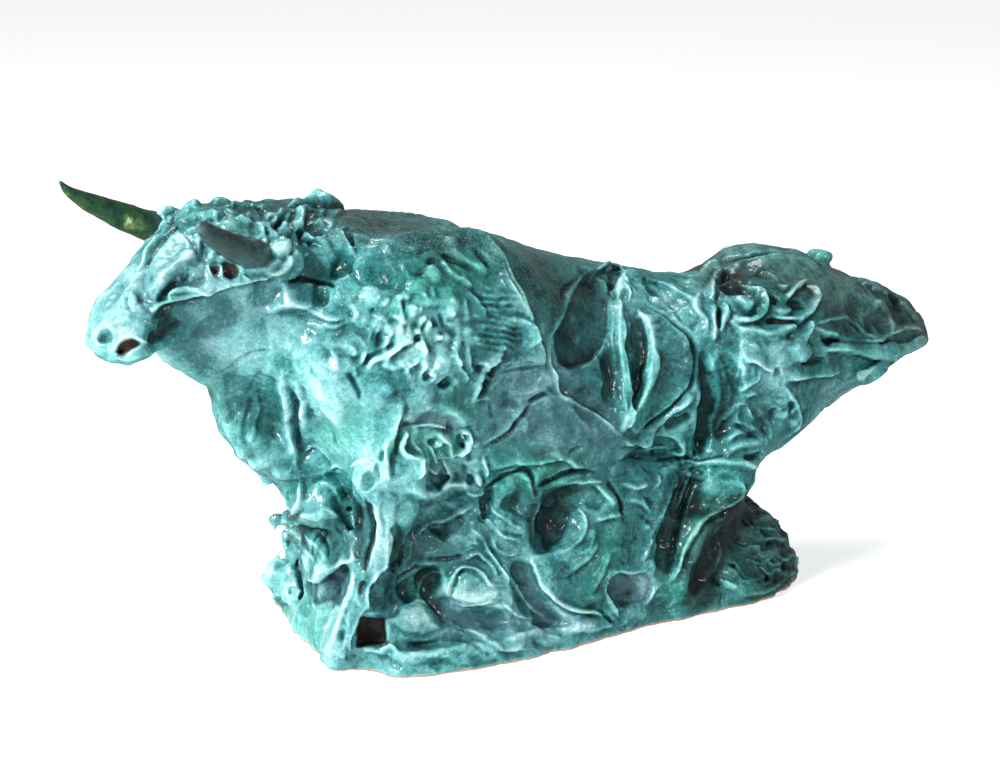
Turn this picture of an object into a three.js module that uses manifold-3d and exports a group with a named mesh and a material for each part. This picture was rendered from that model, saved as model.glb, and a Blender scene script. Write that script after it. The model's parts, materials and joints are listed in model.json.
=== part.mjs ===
// Glazed ceramic bull on a modelled ground, built as a potter builds it: separate lumps, slabs and rolls of clay
// luted together, hollow inside, with an open foot under the base.
// Units are millimetres, +Z is up, the bull faces -X and its left flank faces -Y.
import * as THREE from "three";
import { mergeVertices } from "three/addons/utils/BufferGeometryUtils.js";
import Module from "manifold-3d";

const wasm = await Module();
wasm.setup();

// ---------------------------------------------------------------- driving dimensions
const JOINT_GAP = 0.3; // slip line between two luted pieces
const MID = 5; // the bull's middle plane, y
const SLAB_TOP = 15; // top of the base slab
const CENTRE = [17.26, 4.59]; // middle of the outer box before the shift to the origin
const SEG = 14; // sides of a loft

// ---------------------------------------------------------------- helpers
function solid(geometry) {
  const g = geometry.index ? geometry.clone() : geometry;
  g.deleteAttribute("normal");
  g.deleteAttribute("uv");
  const m = mergeVertices(g, 1e-3);
  const make = (tri) => new wasm.Manifold(new wasm.Mesh({ numProp: 3, vertProperties: new Float32Array(m.attributes.position.array), triVerts: tri }));
  const tri = new Uint32Array(m.index.array);
  const made = make(tri);
  if (made.volume() > 0) return made;
  for (let i = 0; i < tri.length; i += 3) [tri[i + 1], tri[i + 2]] = [tri[i + 2], tri[i + 1]];
  return make(tri);
}

function geometryOf(manifold) {
  const m = manifold.getMesh();
  const n = m.numProp, v = new Float32Array(m.numVert * 3);
  for (let i = 0; i < m.numVert; i++) v.set(m.vertProperties.subarray(i * n, i * n + 3), i * 3);
  const g = new THREE.BufferGeometry();
  g.setAttribute("position", new THREE.BufferAttribute(v, 3));
  g.setIndex(new THREE.BufferAttribute(new Uint32Array(m.triVerts), 1));
  g.computeVertexNormals();
  return g;
}

// A rolled or slabbed lump of clay: a sphere grid drawn out along a curve. Each station is [x, y, z, side, up, down]; keel narrows the lower half, and straight keeps every section upright.
function loft(stations, { grow = 0, seg = SEG, rows = 0, up = [0, 0, 1], power = 2, cap = 0.45, keel = 0, straight = false } = {}) {
  const n = stations.length;
  const count = rows || (n - 1) * 2 + 1;
  const spine = new THREE.CatmullRomCurve3(stations.map((s) => new THREE.Vector3(s[0], s[1], s[2])), false, "centripetal");
  const size = new THREE.CatmullRomCurve3(stations.map((s) => new THREE.Vector3(s[3], s[4], s[5] ?? s[4])), false, "centripetal");
  const g = new THREE.SphereGeometry(1, seg, count + 1);
  const at = g.attributes.position;
  const ref = new THREE.Vector3(...up);
  for (let j = 0; j <= count + 1; j++) {
    const t = Math.min(1, Math.max(0, (j - 1) / (count - 1)));
    const p = spine.getPoint(t), T = straight ? new THREE.Vector3(1, 0, 0) : spine.getTangent(t), r = size.getPoint(t);
    const S = new THREE.Vector3().crossVectors(T, ref).normalize(), U = new THREE.Vector3().crossVectors(S, T).normalize();
    const pole = j === 0 ? -1 : j === count + 1 ? 1 : 0;
    for (let i = 0; i <= seg; i++) {
      const q = p.clone();
      if (pole) q.addScaledVector(T, pole * (cap * Math.min(r.x, Math.max(r.y, r.z)) + grow));
      else {
        const a = (2 * Math.PI * i) / seg, c = Math.cos(a), s = Math.sin(a);
        const k = Math.pow(Math.pow(Math.abs(c), power) + Math.pow(Math.abs(s), power), -1 / power);
        q.addScaledVector(S, c * k * (r.x + grow) * (s < 0 ? 1 + keel * s : 1)).addScaledVector(U, s * k * ((s > 0 ? r.y : r.z) + grow));
      }
      at.setXYZ(j * (seg + 1) + i, q.x, q.y, q.z);
    }
  }
  return solid(g);
}

// A pressed pad of clay: a sphere stretched to three radii and turned.
function pad(centre, radii, turn = [0, 0, 0], { grow = 0, seg = 20 } = {}) {
  const g = new THREE.SphereGeometry(1, seg, Math.round(seg * 0.6));
  g.scale(radii[0] + grow, radii[1] + grow, radii[2] + grow);
  g.applyMatrix4(new THREE.Matrix4().makeRotationFromEuler(new THREE.Euler(...turn.map((d) => (d * Math.PI) / 180))));
  g.translate(...centre);
  return solid(g);
}

// A slab cut to an outline, lying flat, with a rounded upper edge.
function slab(outline, z0, z1, { grow = 0, bevel = 4 } = {}) {
  const curve = new THREE.CatmullRomCurve3(outline.map(([x, y]) => new THREE.Vector3(x, y, 0)), true, "centripetal");
  const points = curve.getPoints(40).slice(0, 40).map((p) => new THREE.Vector2(p.x, p.y));
  const b = bevel;
  const g = new THREE.ExtrudeGeometry(new THREE.Shape(points), { depth: z1 - z0 - b + grow, bevelEnabled: true, bevelThickness: b, bevelSize: b, bevelOffset: -b + grow, bevelSegments: 1, steps: 1 });
  g.translate(0, 0, z0);
  // The lower bevel is trimmed away so that the slab stands on a sharp flat foot.
  return solid(g).subtract(solid(new THREE.BoxGeometry(900, 500, 60).translate(0, 0, z0 - 30)));
}

const mirror = (stations) => stations.map(([x, y, ...r]) => [x, 2 * MID - y, ...r]);

// ---------------------------------------------------------------- outlines and stations
const BASE_OUTLINE = [[-114, 86], [-129, 50], [-136, 10], [-134, -28], [-123, -51], [-100, -67], [-51, -74], [5, -71], [60, -64], [107, -64], [153, -58], [190, -40], [201, -8], [196, 30], [165, 55], [110, 66], [50, 72], [-15, 78], [-70, 90], [-98, 93]];

// Each piece is made at its own size, and again a joint gap larger to cut the pieces that meet it.
const PIECES = [
  // --- set into the head
  ["horn_left", "horn", (g) => loft([[-158, -33, 243, 7.5, 7.5], [-171, -43, 249, 8.2, 8.2], [-189, -54, 257, 7.2, 7.2], [-206, -62, 266, 4.8, 4.8], [-216, -66, 274, 2.2, 2.2], [-220, -68, 278, 0.9, 0.9]], { grow: g, seg: 12 })],
  ["horn_right", "horn", (g) => loft([[-184, 36, 245, 7.5, 7.5], [-197, 42, 250, 8.2, 8.2], [-217, 41, 258, 7.2, 7.2], [-237, 38, 270, 5, 5], [-252, 35, 281, 2.4, 2.4], [-258, 34, 287, 0.9, 0.9]], { grow: g, seg: 12 })],
  ["ear_left", "glaze", (g) => loft([[-163, -38, 238, 6, 5], [-154, -47, 238, 8, 5], [-145, -52, 236, 6, 4], [-138, -56, 233, 2.5, 1.6]], { grow: g, seg: 10 })],
  ["ear_right", "glaze", (g) => loft([[-174, 40, 238, 6, 5], [-168, 50, 239, 8, 5], [-161, 57, 238, 6, 4], [-155, 62, 236, 2.5, 1.6]], { grow: g, seg: 10 })],
  // --- tail laid forward along the left hip, and its tuft
  ["tail", "glaze", (g) => loft([[286, 6, 152, 8, 7], [296, -5, 146, 7, 8], [292, -20, 140, 6, 9], [276, -31, 140, 6, 9], [256, -41, 143, 6, 8], [234, -48, 150, 6, 7], [212, -52, 157, 6, 7], [196, -54, 163, 4, 5]], { grow: g, seg: 12 })],
  ["tail_tuft", "glaze", (g) => loft([[193, -54, 168, 5, 9], [178, -58, 178, 8, 17], [152, -60, 185, 9, 20], [124, -59, 189, 9, 19], [104, -55, 186, 4, 8]], { grow: g, seg: 14 })],
  // --- slabs folded on the flanks
  ["flank_fold_front_left", "glaze", (g) => loft([[52, -50, 210, 4, 4], [57, -58, 190, 7, 6], [63, -60, 155, 8, 7], [69, -57, 120, 4, 4]], { grow: g, seg: 10, up: [1, 0, 0] })],
  ["flank_fold_rear_left", "glaze", (g) => loft([[70, -54, 190, 4, 5], [88, -60, 172, 8, 15], [94, -62, 145, 10, 18], [78, -58, 111, 4, 5]], { grow: g, seg: 12, up: [1, 0, 0] })],
  ["flank_fold_front_right", "glaze", (g) => loft(mirror([[48, -50, 206, 4, 4], [53, -58, 186, 7, 7], [60, -60, 152, 8, 8], [68, -57, 118, 4, 4]]), { grow: g, seg: 10, up: [1, 0, 0] })],
  ["flank_fold_rear_right", "glaze", (g) => loft(mirror([[76, -54, 186, 4, 5], [92, -60, 168, 8, 14], [98, -62, 142, 10, 17], [84, -58, 110, 4, 5]]), { grow: g, seg: 12, up: [1, 0, 0] })],
  ["knee_leaf", "glaze", (g) => loft([[-141, 16, 56, 4, 3], [-130, 12, 66, 12, 6], [-118, 6, 74, 18, 10], [-104, 0, 66, 13, 8]], { grow: g, seg: 12, up: [-0.5, -0.3, 0.8] })],
  ["elbow_knot", "glaze", (g) => pad([-80, -60, 134], [30, 18, 24], [0, 12, 0], { grow: g, seg: 14 })],
  ["ground_petal", "glaze", (g) => loft([[28, -60, 42, 5, 5], [38, -68, 30, 13, 9], [52, -70, 20, 14, 10], [66, -64, 17, 8, 7]], { grow: g, seg: 12 })],
  ["ground_crescent", "glaze", (g) => loft([[-32, -58, 76, 5, 5], [-34, -66, 58, 8, 8], [-20, -72, 36, 9, 9], [10, -71, 21, 6, 6]], { grow: g, seg: 10, up: [1, 0, 0] })],
  // --- legs, let into the slab and the body
  ["foreleg_left", "glaze", (g) => loft([[-84, -40, 150, 16, 22], [-98, -52, 120, 17, 20], [-106, -54, 84, 12, 14], [-117, -50, 48, 12, 12], [-128, -44, 22, 13, 12], [-131, -42, 11, 10, 9]], { grow: g, seg: 14, up: [1, 0, 0] })],
  ["foreleg_right", "glaze", (g) => loft([[-100, 40, 136, 16, 20], [-112, 46, 108, 15, 17], [-118, 50, 80, 12, 13], [-112, 54, 48, 11, 12], [-106, 56, 22, 12, 12], [-106, 57, 11, 10, 10]], { grow: g, seg: 14, up: [1, 0, 0] })],
  ["hindleg_left", "glaze", (g) => loft([[146, -38, 120, 18, 26], [138, -48, 96, 18, 26], [118, -54, 70, 15, 19], [102, -57, 42, 13, 14], [90, -57, 18, 11, 11], [88, -57, 11, 10, 10]], { grow: g, seg: 14, up: [1, 0, 0] })],
  ["hindleg_right", "glaze", (g) => loft([[150, 46, 120, 18, 24], [152, 52, 94, 18, 22], [146, 54, 66, 14, 16], [132, 54, 38, 12, 13], [126, 54, 18, 11, 11], [125, 54, 11, 10, 10]], { grow: g, seg: 14, up: [1, 0, 0] })],
  // --- big pads on the frame of the body
  ["shoulder_left", "glaze", (g) => pad([-72, -47, 192], [72, 24, 64], [0, -14, 6], { grow: g, seg: 18 })],
  ["shoulder_right", "glaze", (g) => pad([-76, 55, 184], [68, 24, 58], [0, -14, -6], { grow: g, seg: 16 })],
  ["haunch_left", "glaze", (g) => pad([148, -40, 140], [58, 26, 58], [0, 18, 0], { grow: g, seg: 14 })],
  ["haunch_right", "glaze", (g) => pad([154, 48, 136], [54, 26, 52], [0, 18, 0], { grow: g, seg: 14 })],
  ["belly_slab_left", "glaze", (g) => pad([6, -44, 124], [58, 22, 34], [0, 0, 0], { grow: g, seg: 14 })],
  ["belly_slab_right", "glaze", (g) => pad([6, 54, 124], [58, 22, 34], [0, 0, 0], { grow: g, seg: 12 })],
  // --- head, crest, neck
  ["head", "glaze", (g) => loft([[-156, 6, 234, 30, 26, 26], [-176, 0, 240, 42, 29, 30], [-198, -8, 239, 40, 27, 30], [-221, -17, 229, 29, 22, 25], [-241, -24, 218, 22, 17, 19], [-257, -29, 211, 19, 14, 14], [-264, -31, 210, 13, 10, 10]], { grow: g, seg: 16, power: 2.2 })],
  ["mane_crest", "glaze", (g) => loft([[-188, 2, 260, 24, 10, 14], [-168, 3, 257, 34, 13, 20], [-140, 4, 254, 38, 15, 24], [-112, 5, 249, 38, 15, 24], [-84, 5, 240, 34, 13, 20], [-64, 5, 234, 24, 10, 14]], { straight: true, grow: g })],
  ["dewlap", "glaze", (g) => loft([[-214, -6, 194, 7, 8, 7], [-199, -2, 180, 11, 14, 9], [-182, 2, 160, 15, 18, 11], [-167, 4, 140, 18, 20, 13], [-150, 6, 122, 22, 22, 14], [-132, 7, 112, 24, 20, 13]], { grow: g, seg: 14 })],
  ["neck", "glaze", (g) => loft([[-202, -6, 214, 22, 20, 18], [-188, 0, 210, 34, 38, 34], [-166, 4, 202, 44, 52, 48], [-140, 5, 192, 50, 58, 58], [-116, 5, 186, 50, 54, 56], [-104, 5, 182, 40, 44, 46]], { straight: true, grow: g, seg: 16, keel: 0.25 })],
  // --- trunk
  ["forebody", "glaze", (g) => loft([[-132, 5, 158, 30, 34, 38], [-118, 5, 168, 50, 60, 56], [-94, 5, 176, 60, 74, 72], [-60, 5, 176, 62, 72, 78], [-30, 5, 172, 61, 70, 78], [-8, 5, 166, 56, 64, 72]], { straight: true, grow: g, seg: 16, rows: 9 })],
  ["rump", "glaze", (g) => loft([[104, 5, 146, 46, 44, 52], [124, 5, 146, 54, 49, 62], [150, 5, 147, 57, 53, 66], [182, 5, 150, 57, 58, 67], [212, 4, 150, 50, 54, 60], [242, 2, 147, 42, 44, 46], [268, 0, 142, 33, 33, 32], [288, -1, 138, 23, 20, 18], [297, -2, 138, 14, 12, 10]], { straight: true, grow: g, seg: 16, rows: 13 })],
  ["barrel", "glaze", (g) => loft([[-24, 5, 158, 52, 58, 62], [-6, 5, 162, 60, 69, 72], [24, 5, 154, 59, 64, 68], [60, 5, 148, 56, 59, 64], [96, 5, 145, 54, 53, 60], [118, 5, 144, 48, 44, 52]], { straight: true, grow: g, seg: 16, rows: 8 })],
  // --- ground
  ["rear_rock", "glaze", (g) => pad([160, -16, 20], [38, 38, 32], [0, 0, 18], { grow: g, seg: 14 })],
  ["front_rock", "glaze", (g) => pad([-113, 56, 24], [16, 22, 15], [0, 0, 0], { grow: g, seg: 10 })],
  ["base_slab", "glaze", (g) => slab(BASE_OUTLINE, 0, SLAB_TOP, { grow: g })],
  ["ground_mound", "glaze", (g) => loft([[-118, 10, 34, 38, 56, 32], [-98, 9, 40, 53, 66, 40], [-56, 7, 42, 61, 74, 42], [10, 6, 42, 63, 68, 42], [70, 5, 42, 61, 66, 42], [118, 4, 40, 56, 56, 40], [152, 3, 30, 44, 36, 30], [168, 2, 26, 30, 22, 26]], { straight: true, grow: g, seg: 16, rows: 12, power: 2.6 })],
];

// The hollow that lets the clay dry and fire evenly: a long chamber in the trunk, a throat down through the mound, and a slot in the foot.
const HOLLOW = loft([[-98, 5, 170, 30, 38, 38], [-60, 5, 172, 44, 54, 58], [20, 5, 154, 41, 48, 50], [90, 5, 147, 38, 40, 44], [170, 5, 148, 38, 40, 42], [214, 4, 150, 30, 32, 34], [240, 3, 148, 18, 20, 20]], { seg: 12, rows: 8, straight: true })
  .add(loft([[-84, 6, 60, 34, 84], [124, 5, 60, 34, 84]], { seg: 12, power: 4, rows: 3, cap: 0.2 }));
const BELOW = solid(new THREE.BoxGeometry(900, 500, 200).translate(0, 0, -100));

// ---------------------------------------------------------------- materials
const GLAZE = () => new THREE.MeshStandardMaterial({ color: 0x2f8f8a, roughness: 0.18, metalness: 0 });
const HORN = () => new THREE.MeshStandardMaterial({ color: 0x4f7a4e, roughness: 0.2, metalness: 0 });

// ---------------------------------------------------------------- assembly
const bull = new THREE.Group();
bull.position.set(-CENTRE[0], -CENTRE[1], 0);
const cutters = [];
for (const [name, finish, make] of PIECES) {
  let s = make(0).subtract(BELOW);
  for (const c of cutters) s = s.subtract(c);
  s = s.subtract(HOLLOW);
  const parts = s.decompose();
  parts.sort((a, b) => b.volume() - a.volume());
  const mesh = new THREE.Mesh(geometryOf(parts[0]), finish === "horn" ? HORN() : GLAZE());
  mesh.name = name;
  bull.add(mesh);
  cutters.push(make(JOINT_GAP));
}

export default bull;
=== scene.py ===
# Glazed ceramic bull: the looks, made around the imported frame.
# The clay is worked as a volume (a signed distance field in millimetres): lumps, rolls and slabs are laid down, then
# strokes are drawn into it along lines given in the picture frame of the main view, and the glaze is painted from how
# hollow or raised each spot of the finished surface is, with painted light and shade laid into it in places.
import json
import math

import bpy
import numpy as np
import openvdb as vdb
from mathutils import Matrix, Vector

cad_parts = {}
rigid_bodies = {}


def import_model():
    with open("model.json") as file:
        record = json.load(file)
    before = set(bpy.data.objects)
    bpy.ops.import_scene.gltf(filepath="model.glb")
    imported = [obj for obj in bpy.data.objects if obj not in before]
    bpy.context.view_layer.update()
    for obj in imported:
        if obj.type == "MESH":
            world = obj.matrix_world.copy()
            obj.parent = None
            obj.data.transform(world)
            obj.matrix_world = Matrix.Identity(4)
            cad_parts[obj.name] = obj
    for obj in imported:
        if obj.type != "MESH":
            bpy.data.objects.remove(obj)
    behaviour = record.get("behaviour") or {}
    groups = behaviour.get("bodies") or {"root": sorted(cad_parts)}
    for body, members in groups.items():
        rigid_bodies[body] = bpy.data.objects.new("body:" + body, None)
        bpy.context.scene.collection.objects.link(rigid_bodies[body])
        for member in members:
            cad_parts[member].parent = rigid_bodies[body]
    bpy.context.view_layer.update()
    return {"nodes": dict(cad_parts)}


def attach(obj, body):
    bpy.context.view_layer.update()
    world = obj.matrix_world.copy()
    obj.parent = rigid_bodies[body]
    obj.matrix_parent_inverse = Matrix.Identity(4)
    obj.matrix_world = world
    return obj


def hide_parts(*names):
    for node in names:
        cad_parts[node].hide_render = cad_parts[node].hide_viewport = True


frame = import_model()

# ------------------------------------------------------------------ driving numbers
CENTRE = np.array([17.26, 4.59, 0.0])  # modelling millimetres minus this, over 1000, is the row frame in metres
MID = 5.0  # the bull's middle plane, y
VOX = 0.95  # clay voxel, mm
GRID_LO = np.array([-282.0, -97.0, -7.0])
GRID_HI = np.array([316.0, 106.0, 300.0])
RNG = np.random.default_rng(7325)

# the main view: azimuth and elevation in degrees, distance in mm, focal length in picture pixels
AZ, EL, DIST, FOCAL = math.radians(-28.0), math.radians(16.0), 1650.0, 2750.0
PIC_W, PIC_H = 1000, 766
TARGET = np.array([0.0, 0.0, 145.0])
BACK = np.array([math.sin(AZ) * math.cos(EL), -math.cos(AZ) * math.cos(EL), math.sin(EL)])
RIGHT = np.array([math.cos(AZ), math.sin(AZ), 0.0])
UP = np.cross(BACK, RIGHT)
EYE = TARGET + BACK * DIST


# ------------------------------------------------------------------ curves
def spline(points, step=3.0, closed=False):
    """Catmull-Rom through rows of numbers; the first three columns are the place, and the step is in their units."""
    p = np.asarray(points, float)
    if len(p) == 1:
        return p.copy()
    if closed:
        q = np.vstack([p[-1], p, p[0], p[1]])
    else:
        q = np.vstack([2 * p[0] - p[1], p, 2 * p[-1] - p[-2]])
    out = []
    n = len(q) - 3
    for i in range(n):
        a, b, c, d = q[i], q[i + 1], q[i + 2], q[i + 3]
        m = max(1, int(math.ceil(np.linalg.norm((c - b)[:3]) / step)))
        t = (np.arange(m) / m)[:, None]
        out.append(0.5 * ((2 * b) + (c - a) * t + (2 * a - 5 * b + 4 * c - d) * t**2 + (3 * b - a - 3 * c + d) * t**3))
    if not closed:
        out.append(q[-2][None])
    return np.vstack(out)


def unit(v):
    return v / (np.linalg.norm(v, axis=-1, keepdims=True) + 1e-12)


# ------------------------------------------------------------------ the clay
class Clay:
    """A dense signed distance field, negative inside, in millimetres."""

    def __init__(self, lo, hi, h):
        self.lo, self.h = np.asarray(lo, float), h
        self.n = np.ceil((np.asarray(hi) - lo) / h).astype(int) + 1
        self.f = np.full(self.n, 60.0, np.float32)

    def sub(self, lo, hi):
        """Slices of the box and its open coordinate arrays."""
        a = np.clip(np.floor((np.asarray(lo) - self.lo) / self.h).astype(int), 0, self.n - 1)
        b = np.clip(np.ceil((np.asarray(hi) - self.lo) / self.h).astype(int) + 1, 1, self.n)
        b = np.maximum(b, a + 1)
        s = tuple(slice(int(x), int(y)) for x, y in zip(a, b))
        g = [(self.lo[k] + self.h * np.arange(a[k], b[k])).astype(np.float32) for k in range(3)]
        return s, g[0][:, None, None], g[1][None, :, None], g[2][None, None, :]

    def sample(self, p, f=None):
        """Trilinear value at points."""
        f = self.f if f is None else f
        m = max(1, int(round((self.n[0] - 1) / (f.shape[0] - 1))))  # a field kept at every second or fourth voxel
        q = ((np.asarray(p) - self.lo) / (self.h * m)).astype(np.float32)
        q = np.clip(q, 0, np.array(f.shape) - 1.01)
        i = np.floor(q).astype(int)
        t = (q - i).astype(np.float32)
        x, y, z = i[:, 0], i[:, 1], i[:, 2]
        tx, ty, tz = t[:, 0], t[:, 1], t[:, 2]
        c = 0
        for dx in (0, 1):
            for dy in (0, 1):
                for dz in (0, 1):
                    c = c + f[x + dx, y + dy, z + dz] * (tx if dx else 1 - tx) * (ty if dy else 1 - ty) * (tz if dz else 1 - tz)
        return c

    def gradient(self, p, f=None, d=None):
        d = d or self.h
        g = np.stack([self.sample(p + e, f) - self.sample(p - e, f) for e in np.eye(3) * d], 1)
        return unit(g)


def smin(a, b, k):
    if k <= 0:
        return np.minimum(a, b)
    h = np.maximum(k - np.abs(a - b), 0) / k
    return np.minimum(a, b) - h * h * k * 0.25


def smax(a, b, k):
    return -smin(-a, -b, k)


def blur(f, sigma):
    """Separable gaussian; sigma in voxels."""
    r = max(1, int(math.ceil(2.5 * sigma)))
    w = np.exp(-0.5 * (np.arange(-r, r + 1) / sigma) ** 2)
    w = (w / w.sum()).astype(np.float32)
    for ax in range(3):
        n = f.shape[ax]
        pad = [(0, 0)] * 3
        pad[ax] = (r, r)
        g = np.pad(f, pad, mode="edge")
        out = np.zeros_like(f)
        for k, wk in enumerate(w):
            s = [slice(None)] * 3
            s[ax] = slice(k, k + n)
            out += wk * g[tuple(s)]
        f = out
    return f


def soft_copy(f, sigma_mm, every=2):
    """The field smoothed, kept at every second or fourth voxel."""
    return blur(np.ascontiguousarray(f[::every, ::every, ::every]), sigma_mm / (VOX * every))


clay = Clay(GRID_LO, GRID_HI, VOX)


def grid_noise(cell, seed, shape=None, h=None):
    """Smooth random field on the whole grid, between -1 and 1, with lumps about cell mm across."""
    shape = clay.f.shape if shape is None else shape
    h = h or VOX
    g = np.random.default_rng(seed).uniform(-1, 1, [int(n * h / cell) + 3 for n in shape]).astype(np.float32)
    for ax, n in enumerate(shape):
        x = np.arange(n) * h / cell
        i = x.astype(int)
        t = (x - i).astype(np.float32)
        t = t * t * (3 - 2 * t)
        t = t.reshape([-1 if k == ax else 1 for k in range(3)])
        g = np.take(g, i, ax) * (1 - t) + np.take(g, i + 1, ax) * t
    return g


def ellipsoid_d(x, y, z, rx, ry, rz):
    k1 = np.sqrt((x / rx) ** 2 + (y / ry) ** 2 + (z / rz) ** 2)
    k2 = np.sqrt((x / (rx * rx)) ** 2 + (y / (ry * ry)) ** 2 + (z / (rz * rz)) ** 2)
    return np.where(k2 > 1e-9, k1 * (k1 - 1) / np.maximum(k2, 1e-9), -min(rx, ry, rz) if np.isscalar(rx) else -1.0)


def put(s, d, k, cut=False):
    f = clay.f[s]
    clay.f[s] = smax(f, -d, k) if cut else smin(f, d, k)


def xloft(stations, k=6.0, power=2.0, keel=0.0, cut=False, grow=0.0):
    """A form drawn out along x, each section upright. A station is x, y, z, side, up, down."""
    st = np.array([[*r[:4], r[4], r[5] if len(r) > 5 else r[4]] for r in stations], float)
    fine = spline(st, step=4.0)
    order = np.argsort(fine[:, 0])
    fine = fine[order]
    x0, x1 = st[0, 0], st[-1, 0]
    c0, c1 = 0.45 * min(st[0, 3], max(st[0, 4:])), 0.45 * min(st[-1, 3], max(st[-1, 4:]))
    m = 24
    lo = [x0 - c0 - m, (fine[:, 1] - fine[:, 3]).min() - m, (fine[:, 2] - fine[:, 5]).min() - m]
    hi = [x1 + c1 + m, (fine[:, 1] + fine[:, 3]).max() + m, (fine[:, 2] + fine[:, 4]).max() + m]
    s, X, Y, Z = clay.sub(lo, hi)
    x = X[:, 0, 0]
    xc = np.clip(x, x0, x1)
    v = [np.interp(xc, fine[:, 0], fine[:, j]).astype(np.float32) + (grow if j > 2 else 0) for j in range(1, 6)]
    over = np.where(x < x0, (x0 - x) / c0, np.where(x > x1, (x - x1) / c1, 0)).astype(np.float32)
    cy, cz, sd, up, dn = [a[:, None, None] for a in v]
    dy, dz = Y - cy, Z - cz
    rz = np.where(dz > 0, up, dn)
    if keel:
        sd = sd * (1 + keel * np.clip(dz / dn, -1, 0))
    k1 = (np.abs(dy / sd) ** power + np.abs(dz / rz) ** power + over[:, None, None] ** power) ** (1 / power)
    if power == 2.0:
        k2 = np.sqrt((dy / (sd * sd)) ** 2 + (dz / (rz * rz)) ** 2 + (over / np.where(x < x0, c0, c1))[:, None, None] ** 2)
        d = k1 * (k1 - 1) / np.maximum(k2, 1e-6)
    else:
        d = (k1 - 1) * np.minimum(sd, rz)
    put(s, d.astype(np.float32), k, cut)


def pad(centre, radii, turn=(0, 0, 0), k=6.0, cut=False):
    """A pressed lump: an ellipsoid, turned about x, y, z in degrees."""
    c = np.array(centre, float)
    ax, ay, az = (math.radians(t) for t in turn)
    R = np.array((Matrix.Rotation(ax, 3, "X") @ Matrix.Rotation(ay, 3, "Y") @ Matrix.Rotation(az, 3, "Z")))
    m = max(radii) + 20
    s, X, Y, Z = clay.sub(c - m, c + m)
    dx, dy, dz = X - c[0], Y - c[1], Z - c[2]
    q = [R[0, j] * dx + R[1, j] * dy + R[2, j] * dz for j in range(3)]
    put(s, ellipsoid_d(*q, *radii).astype(np.float32), k, cut)


def roll(stations, k=5.0, up=(0, 0, 1), cut=False, step=6.0, power=2.0):
    """A roll of clay along a curve. A station is x, y, z, side, up, down."""
    st = np.array([[*r[:4], r[4], r[5] if len(r) > 5 else r[4]] for r in stations], float)
    fine = spline(st, step=step)
    T = unit(np.gradient(fine[:, :3], axis=0))
    S = unit(np.cross(T, np.array(up, float)))
    U = unit(np.cross(S, T))
    sweep(fine[:, :3], S, U, fine[:, 3], fine[:, 4], fine[:, 5], k, cut, power)


def sweep(P, S, U, rs, ru, rd, k, cut=False, power=2.0):
    m = float(max(rs.max(), ru.max(), rd.max())) + 12
    s, X, Y, Z = clay.sub(P.min(0) - m, P.max(0) + m)
    base = [q.start for q in s]
    d_all = np.full(tuple(q.stop - q.start for q in s), 99.0, np.float32)
    for i in range(len(P) - 1):
        A, B = P[i], P[i + 1]
        r = float(max(rs[i], rs[i + 1], ru[i], ru[i + 1], rd[i], rd[i + 1])) + 10
        ss, x, y, z = clay.sub(np.minimum(A, B) - r, np.maximum(A, B) + r)
        D = B - A
        L = np.linalg.norm(D)
        if L < 1e-6:
            continue
        D = D / L
        dx, dy, dz = x - A[0], y - A[1], z - A[2]
        a = dx * D[0] + dy * D[1] + dz * D[2]
        t = np.clip(a / L, 0, 1)
        over = a - t * L
        Sm, Um = unit((S[i] + S[i + 1])[None])[0], unit((U[i] + U[i + 1])[None])[0]
        su = dx * Sm[0] + dy * Sm[1] + dz * Sm[2]
        uu = dx * Um[0] + dy * Um[1] + dz * Um[2]
        rS = rs[i] + (rs[i + 1] - rs[i]) * t
        rU = np.where(uu > 0, ru[i] + (ru[i + 1] - ru[i]) * t, rd[i] + (rd[i + 1] - rd[i]) * t)
        rA = np.minimum(rS, rU)
        if power == 2.0:
            k1 = np.sqrt((su / rS) ** 2 + (uu / rU) ** 2 + (over / rA) ** 2)
            k2 = np.sqrt((su / rS**2) ** 2 + (uu / rU**2) ** 2 + (over / rA**2) ** 2)
            d = k1 * (k1 - 1) / np.maximum(k2, 1e-6)
        else:
            k1 = (np.abs(su / rS) ** power + np.abs(uu / rU) ** power + np.abs(over / rA) ** power) ** (1 / power)
            d = (k1 - 1) * np.minimum(rS, rU)
        loc = tuple(slice(q.start - b, q.stop - b) for q, b in zip(ss, base))
        d_all[loc] = np.minimum(d_all[loc], d.astype(np.float32))
    put(s, d_all, k, cut)


def slab_outline(points):
    return spline(np.array([[x, y, 0.0] for x, y in points]), step=5.0, closed=True)[:, :2]


def outline_distance(poly, X, Y):
    """Signed distance in the plane to a closed polygon."""
    px, py = poly[:, 0], poly[:, 1]
    qx, qy = np.roll(px, -1), np.roll(py, -1)
    best = np.full(np.broadcast(X, Y).shape, 1e9, np.float32)
    inside = np.zeros(best.shape, bool)
    for ax, ay, bx, by in zip(px, py, qx, qy):
        ex, ey = bx - ax, by - ay
        wx, wy = X - ax, Y - ay
        t = np.clip((wx * ex + wy * ey) / (ex * ex + ey * ey), 0, 1)
        best = np.minimum(best, (wx - ex * t) ** 2 + (wy - ey * t) ** 2)
        c = (ay <= Y) != (by <= Y)
        if c.any():
            xi = ax + (Y - ay) / (by - ay + 1e-12) * ex
            inside ^= c & (X < xi)
    d = np.sqrt(best)
    return np.where(inside, -d, d)


# ------------------------------------------------------------------ lumps, rolls and slabs, as in the frame
def flip(stations):
    return [[r[0], 2 * MID - r[1], *r[2:]] for r in stations]


BASE_OUTLINE = [[-114, 86], [-129, 50], [-136, 10], [-134, -28], [-123, -51], [-100, -67], [-51, -74], [5, -71], [60, -64], [107, -64], [153, -58], [190, -40], [201, -8], [196, 30], [165, 55], [110, 66], [50, 72], [-15, 78], [-70, 90], [-98, 93]]


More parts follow.
